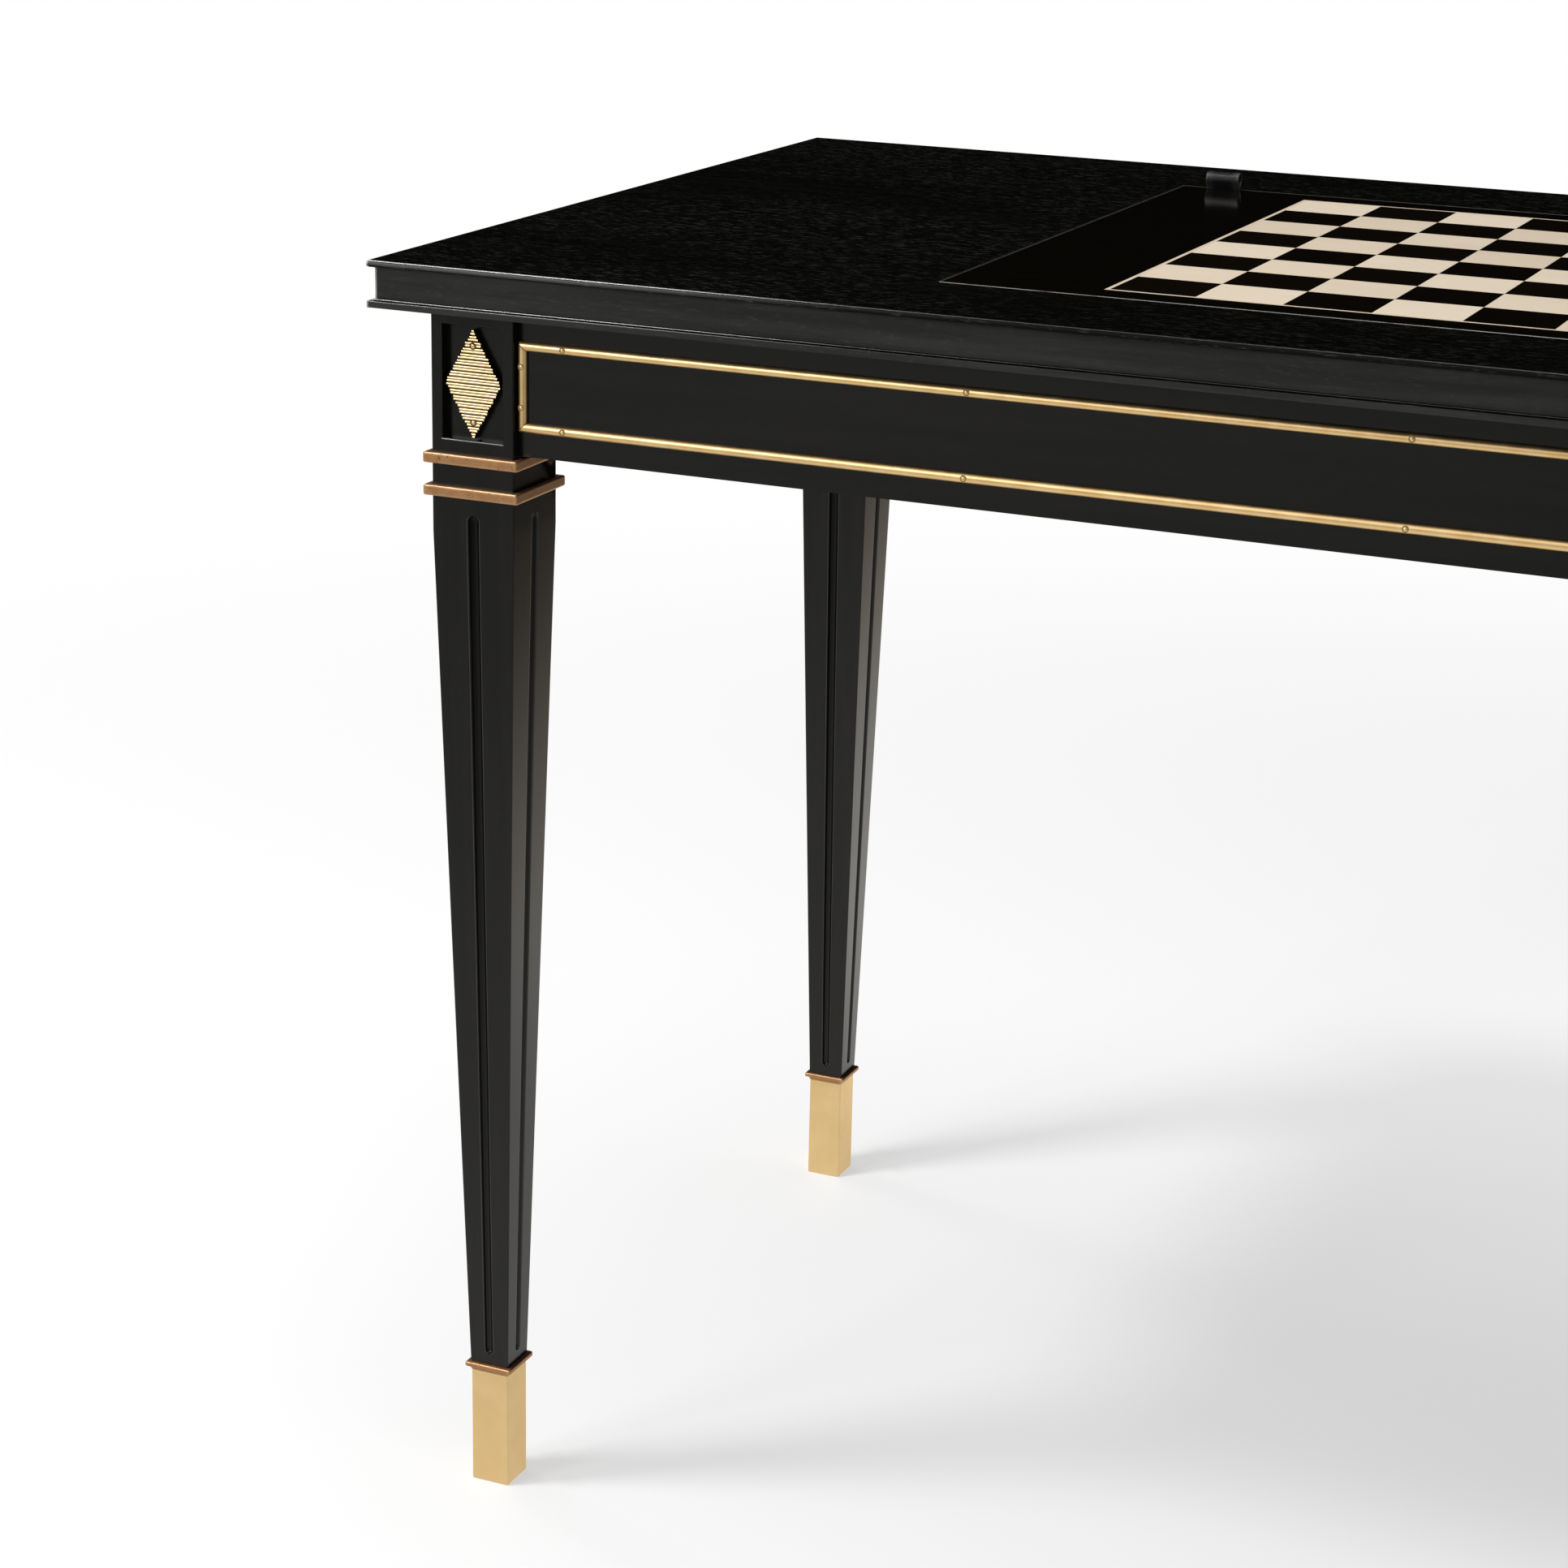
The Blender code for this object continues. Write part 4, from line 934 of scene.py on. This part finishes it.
low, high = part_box("well_lining")
width, depth = high.x - low.x, high.y - low.y
cloth = bmesh.new()
bmesh.ops.create_grid(cloth, x_segments=60, y_segments=46, size=0.5)
for vert in cloth.verts:
    x, y = vert.co.x * width, vert.co.y * depth
    ripple = sin(x * 61 + 1.3 * sin(y * 47)) * sin(y * 53 + 0.7)
    vert.co = (x, y, high.z - BAIZE_NAP * (1 - ripple))
bmesh.ops.solidify(cloth, geom=cloth.faces[:], thickness=BAIZE_THICKNESS)
lining = fit("baize_lining", tidy_mesh("baize", cloth), baize_finish("baize"), "table", "felt",
             "well_lining")


# Lift-out panel. A smooth board, stained black and French polished to a gloss, its edges
# just eased. It lies flush in the top on the walls of the well.
PANEL_EDGE = 0.0009
POLISH_DARK, POLISH_PALE = (0.0020, 0.0016, 0.0010), (0.0034, 0.00272, 0.0017)
PANEL_EDGE_HIGHLIGHT = (0.21, 0.205, 0.19)


def french_polish(name, high):
    """Black French polish over close-grained wood, with a grey painted highlight along the upper
    edges of a board that ends at high and at its mirror image."""
    gloss = Finish(name, Specular_IOR_Level=0.30)
    grain = gloss.place.stretched(ALONG_X).noise(700, 3, 0.6)
    x, y, z = gloss.place.parts()
    rim = gloss.place.math("MAXIMUM", abs(x) - high.x, abs(y) - high.y)
    edge = rim.above(-PANEL_EDGE, -PANEL_EDGE * 0.6)
    upper = z.above(high.z - PANEL_EDGE, high.z - PANEL_EDGE * 0.4)
    # Painted highlight: a grey line along the board's upper edges.
    rubbed = edge * upper * gloss.place.noise(90, 3).above(0.2, 0.5)
    wood = grain.above(0.3, 0.7).tint(POLISH_DARK, POLISH_PALE)
    gloss.feed(Base_Color=rubbed.tint(wood, PANEL_EDGE_HIGHLIGHT), Roughness=0.07 + grain * 0.05)
    gloss.relief(gloss.place.noise(35, 2), 0.00012)
    return gloss.material


dress(french_polish("panel_black", panel_high), "game_panel")


# Chess field. Sixty-four squares of veneer let into the panel flush, pale maple and a black
# stained wood, inside a narrow maple line.
SQUARES = 8
STRINGING = 0.0024
VENEER = 0.0014
JOINT = 0.00012
MAPLE_DARK, MAPLE_PALE = (0.62, 0.515, 0.39), (0.74, 0.635, 0.50)
SQUARE_DARK, SQUARE_PALE = (0.0026, 0.0018, 0.0010), (0.0050, 0.0036, 0.0022)


def veneer(name, dark, pale, polish):
    """Fine-grained veneer, each square of it cut from its own part of the leaf."""
    leaf = Finish(name, Specular_IOR_Level=0.25)
    grain = leaf.place.stretched((0.06, 1, 1)).noise(900, 3, 0.65)
    figure = leaf.place.stretched((0.3, 1, 1)).noise(70, 3)
    shade = grain * 0.35 + figure * 0.3 + leaf.attribute("tone") * 0.35
    leaf.feed(Base_Color=shade.above(0.15, 0.85).tint(dark, pale), Roughness=polish + grain * 0.06)
    leaf.relief(grain, 0.00002)
    return leaf.material


def chequer_of(square, material):
    """Every second square of a board, those whose row and column add up odd or even."""
    chequer = Recipe("chequer", Square=square, Joint=JOINT, Thickness=VENEER, Rows=SQUARES, Odd=1)
    rows, index = chequer.size("Rows"), chequer.index()
    span = (rows - 1) * chequer.size("Square")
    grid = chequer.node("GeometryNodeMeshGrid", {"Size X": span, "Size Y": span,
                                                 "Vertices X": rows, "Vertices Y": rows})
    column = chequer.math("FLOOR", (index + 0.5) / rows)
    colour = chequer.math("MODULO", column + index - column * rows, 2)
    wanted = chequer.math("COMPARE", colour, chequer.size("Odd"), 0.1)
    grid = chequer.marked(grid, "tone", chequer.random(index, 0.0, 1.0, seed=3))
    side = chequer.size("Square") - chequer.size("Joint")
    tile = chequer.node("GeometryNodeMeshCube",
                        {"Size": chequer.vector(side, side, chequer.size("Thickness"))})
    return chequer.serve(chequer.repeated(grid, tile, Selection=wanted), material)


maple = veneer("maple", MAPLE_DARK, MAPLE_PALE, 0.30)
dark_wood = veneer("dark_wood", SQUARE_DARK, SQUARE_PALE, 0.12)
low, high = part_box("maple_inlay")
chequer = chequer_of((high.x - low.x - 2 * STRINGING) / SQUARES, maple)
field = Matrix.Translation((0, 0, high.z - VENEER / 2))
fit("maple_squares", chequer.make("maple_squares", Odd=1), maple, "chess_panel", "maple", at=field)
fit("dark_squares_veneer", chequer.make("dark_squares_veneer", Odd=0), dark_wood,
    "chess_panel", "ebonised_panel", "dark_squares", at=field)
inner, under = high.x - STRINGING, high.z - VENEER
stringing = bmesh.new()
skin(stringing, [[Vector((x * half, y * half, z)) for x, y in ((1, 1), (-1, 1), (-1, -1), (1, -1))]
                 for half, z in ((high.x, high.z), (inner, high.z), (inner, under), (high.x, under))],
     capped=False)
fit("maple_stringing", tidy_mesh("stringing", stringing), maple, "chess_panel", "maple",
    "maple_inlay")


# Pull tabs. A strip of black leather doubled into a loop through a slot at each back corner of
# the panel and glued beneath it.
TAB_WIDTH = 0.022
TAB_PLY = 0.0011
TAB_TAIL = 0.016
TAB_BEND = 0.0016
TAB_STRAIGHT = 0.008
LOOP_RADIUS = 0.0044
SLOT_MARGIN = 0.0005
LEATHER_DARK, LEATHER_PALE = (0.0022, 0.0022, 0.0023), (0.0060, 0.0060, 0.0063)
LEATHER_EDGE_HIGHLIGHT = (0.10, 0.10, 0.11)


def leather_finish(name):
    """Black grained leather with a soft sheen, its cut edges painted paler as a highlight."""
    hide = Finish(name, Specular_IOR_Level=0.22)
    pebbles = hide.place.node("ShaderNodeTexVoronoi", {"Vector": hide.place, "Scale": 1300.0},
                              "Distance", feature="SMOOTH_F1")
    creases = hide.place.noise(300, 4, 0.6)
    # Painted highlight: the strap's edges are tinted grey.
    cut = hide.attribute("worn") * creases.above(0.3, 0.6)
    hide.feed(Base_Color=(cut * 0.5).tint(creases.tint(LEATHER_DARK, LEATHER_PALE), LEATHER_EDGE_HIGHLIGHT),
              Roughness=0.34 + creases * 0.16)
    hide.relief(1 - pebbles * 0.8 + creases * 0.2, 0.00010)
    return hide.material


def strap_path(root_y, top_z, loop_z, low_z):
    """Middle line of a strap, up from its tail, round the loop and down again, as (y, z)."""
    half_ply, straight_z = TAB_PLY / 2, low_z + TAB_STRAIGHT
    up_y, down_y = root_y - half_ply, root_y - TAB_PLY - half_ply
    path = [(root_y - TAB_TAIL, low_z + half_ply), (root_y - TAB_BEND, low_z + half_ply)]
    path += arc((root_y - TAB_BEND, low_z + TAB_BEND), TAB_BEND - half_ply, -90, 0)
    path += [(up_y, z) for z in (straight_z, top_z, top_z + SLOT_MARGIN)]
    path += arc((root_y - TAB_PLY, loop_z), LOOP_RADIUS - half_ply, -28, 208, 22)
    return path + [(down_y, z) for z in (top_z + SLOT_MARGIN, top_z, straight_z)]


def strap(name, path):
    """A strip of leather swept along its path, with rounded edges."""
    half, ply = TAB_WIDTH / 2, TAB_PLY / 2
    face = [(half * share, -ply) for share in (-0.5, 0, 0.5)]
    turn = [pi / 4 * step for step in range(5)]
    near_edge = [(-half + ply * (1 - sin(angle)), ply * cos(angle)) for angle in turn]
    far_edge = [(half - ply * (1 - sin(angle)), -ply * cos(angle)) for angle in turn]
    section = near_edge + face + far_edge + [(-x, -depth) for x, depth in face]
    bm = bmesh.new()
    worn = bm.verts.layers.float.new("worn")
    rings = []
    for k, (y, z) in enumerate(path):
        before, after = path[max(k - 1, 0)], path[min(k + 1, len(path) - 1)]
        along = Vector((0, after[0] - before[0], after[1] - before[1])).normalized()
        out = Vector((0, along.z, -along.y))
        rings.append([Vector((x, y, z)) + out * depth for x, depth in section])
    for ring in skin(bm, rings):
        for vert in ring:
            vert[worn] = float(abs(vert.co.x) > half - 1.5 * ply)
    return tidy_mesh(name, bm, sharp=60)


leather = leather_finish("leather")
for side in ("left", "right"):
    name = "tab_" + side + "_loop"
    low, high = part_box("pull_tab_" + side)
    path = strap_path(panel_high.y - SLOT_MARGIN, panel_high.z, high.z - LOOP_RADIUS, low.z)
    middle = Matrix.Translation(((low.x + high.x) / 2, 0, 0))
    fit(name, strap(name, path), leather, "chess_panel", "leather", "pull_tab_" + side, at=middle)


# Studio. White paper under the table and far beyond it, a dim room with a pale wall in front,
# a tall reflector beside the camera, four soft lamps, and the camera where the photographer
# stood.
EYE = Vector((0.40910, -2.00086, 1.07869))
YAW, PITCH, ROLL = radians(23.539), radians(-17.560), radians(1.188)
LENS_SHARE = 2.2510
SENSOR = 36.0
PAPER_HALF = 60.0
PAPER_WHITE = (0.86, 0.86, 0.86, 1)
BRIGHT_END = 1.65
BOARD_COOL, BOARD_WARM = (1, 0.985, 0.94), (1, 0.86, 0.68)

forward = Vector((-sin(YAW) * cos(PITCH), cos(YAW) * cos(PITCH), sin(PITCH)))
sideways = Vector((cos(YAW), sin(YAW), 0))
rise = sideways.cross(forward)
right = cos(ROLL) * sideways + sin(ROLL) * rise
up = cos(ROLL) * rise - sin(ROLL) * sideways
camera = bpy.data.objects.new("camera", bpy.data.cameras.new("camera"))
camera.data.sensor_width = SENSOR
camera.data.lens = SENSOR * LENS_SHARE
camera.data.clip_end = 2 * PAPER_HALF
camera.matrix_world = Matrix.Translation(EYE) @ Matrix((right, up, -forward)).transposed().to_4x4()
bpy.context.scene.collection.objects.link(camera)
bpy.context.scene.camera = camera
bpy.context.scene.view_settings.view_transform = "Standard"


def paper_finish():
    """Paper that the lens sees as white a little way from the table, and that a polish mirrors
    by its place: dimmer towards the camera, brighter behind the table up to BRIGHT_END, and
    hidden on the right of that by warm boards. A Mix factor stops at 1, so the colours carry
    BRIGHT_END."""
    paper = Finish("paper", Base_Color=PAPER_WHITE, Roughness=0.9, Specular_IOR_Level=0.0)
    place = paper.place
    from_lens = place.node("ShaderNodeLightPath")
    seen = place.math("MAXIMUM", from_lens, from_lens.also("Is Transmission Ray"))
    mirrored = from_lens.also("Is Glossy Ray")
    distance = place.node("ShaderNodeVectorMath", {0: place}, "Value", operation="LENGTH")
    x, y, _ = place.parts()
    behind = y.above(0.2, 0.8)
    boards = x.above(-0.35, 0.55) * behind
    near = 0.90 - distance.above(0.6, 2.5) * (0.43 + x.above(-1.0, 0.3) * 0.22)
    brightness = (near + (BRIGHT_END - near) * behind) * (1 - boards * 0.95)
    cool, warm = [[BRIGHT_END * c for c in colour] for colour in (BOARD_COOL, BOARD_WARM)]
    reflected = (brightness / BRIGHT_END).tint((0, 0, 0), boards.above(0, 0.5).tint(cool, warm))
    glow = {"Color": mirrored.tint((1, 1, 1), reflected), "Strength": 1.0}
    share = place.math("MAXIMUM", mirrored, seen * (0.50 + distance.above(1.0, 2.8) * 0.50))
    lit = Wire(paper.tree, paper.shader.outputs[0])
    mixed = place.node("ShaderNodeMixShader",
                       {0: share, 1: lit, 2: place.node("ShaderNodeEmission", glow)})
    paper.tree.links.new(mixed.socket, paper.tree.nodes["Material Output"].inputs["Surface"])
    return paper.material


square = bmesh.new()
bmesh.ops.create_grid(square, x_segments=1, y_segments=1, size=PAPER_HALF)
ground = bpy.data.meshes.new("paper")
square.to_mesh(ground)
square.free()
ground.materials.append(paper_finish())
floor = bpy.data.objects.new("paper", ground)
bpy.context.scene.collection.objects.link(floor)


def light_room(world):
    """A white background for the lens and a dim one for the table. In its polish the room has
    the paper's far edge, a ceiling, a pale wall in front and a reflector beside the camera."""
    room = Wire(world.node_tree)
    from_lens = room.node("ShaderNodeLightPath")
    seen = room.math("MAXIMUM", from_lens, from_lens.also("Is Transmission Ray"))
    glossy = from_lens.also("Is Glossy Ray")
    x, y, z = room.node("ShaderNodeTexCoord", output="Generated").parts()
    in_front = 1 - y.above(-0.15, 0.35)
    paper_edge = (1 - z.above(0.0, 0.04)) * in_front
    ceiling = z.above(0.42, 0.70)
    wall = (1 - y.above(-0.55, -0.10)) * z.above(0.0, 0.06) * (1 - ceiling)
    wall = wall * (0.62 - x.above(-0.6, 0.3) * 0.3)
    reflector = z.above(0.10, 0.25) * (1 - abs(x + 0.14).above(0.06, 0.24))
    reflector = reflector * (1 - y.above(-0.6, -0.3))
    mirrored = paper_edge + ceiling * in_front * 0.9 + wall + reflector * 0.5
    strength = seen + glossy * mirrored + (1 - seen) * (1 - glossy) * 0.36
    background = world.node_tree.nodes["Background"]
    background.inputs["Color"].default_value = (1, 1, 1, 1)
    world.node_tree.links.new(strength.socket, background.inputs["Strength"])


world = bpy.data.worlds.new("room")
world.use_nodes = True
bpy.context.scene.world = world
light_room(world)


def lamp(name, place, aim, sides, power):
    """A soft rectangular lamp that faces a point."""
    light = bpy.data.lights.new(name, "AREA")
    light.shape, light.energy = "RECTANGLE", power
    light.size, light.size_y = sides
    holder = bpy.data.objects.new(name, light)
    place, aim = Vector(place), Vector(aim)
    turn = (aim - place).to_track_quat("-Z", "Y").to_matrix().to_4x4()
    holder.matrix_world = Matrix.Translation(place) @ turn
    bpy.context.scene.collection.objects.link(holder)


lamp("key", (-1.8, -1.1, 3.2), aim=(-1.4, -0.2, 0.6), sides=(0.6, 0.45), power=72)
lamp("overhead", (0.2, -0.1, 3.4), aim=(0, 0, 0.7), sides=(1.8, 1.8), power=30)
lamp("front_left", (-1.62, -2.19, 1.47), aim=(0, 0, 0.4), sides=(0.65, 0.65), power=18)
lamp("back_left", (-3.2, 1.0, 1.9), aim=(0, 0, 0.3), sides=(0.8, 0.8), power=13)
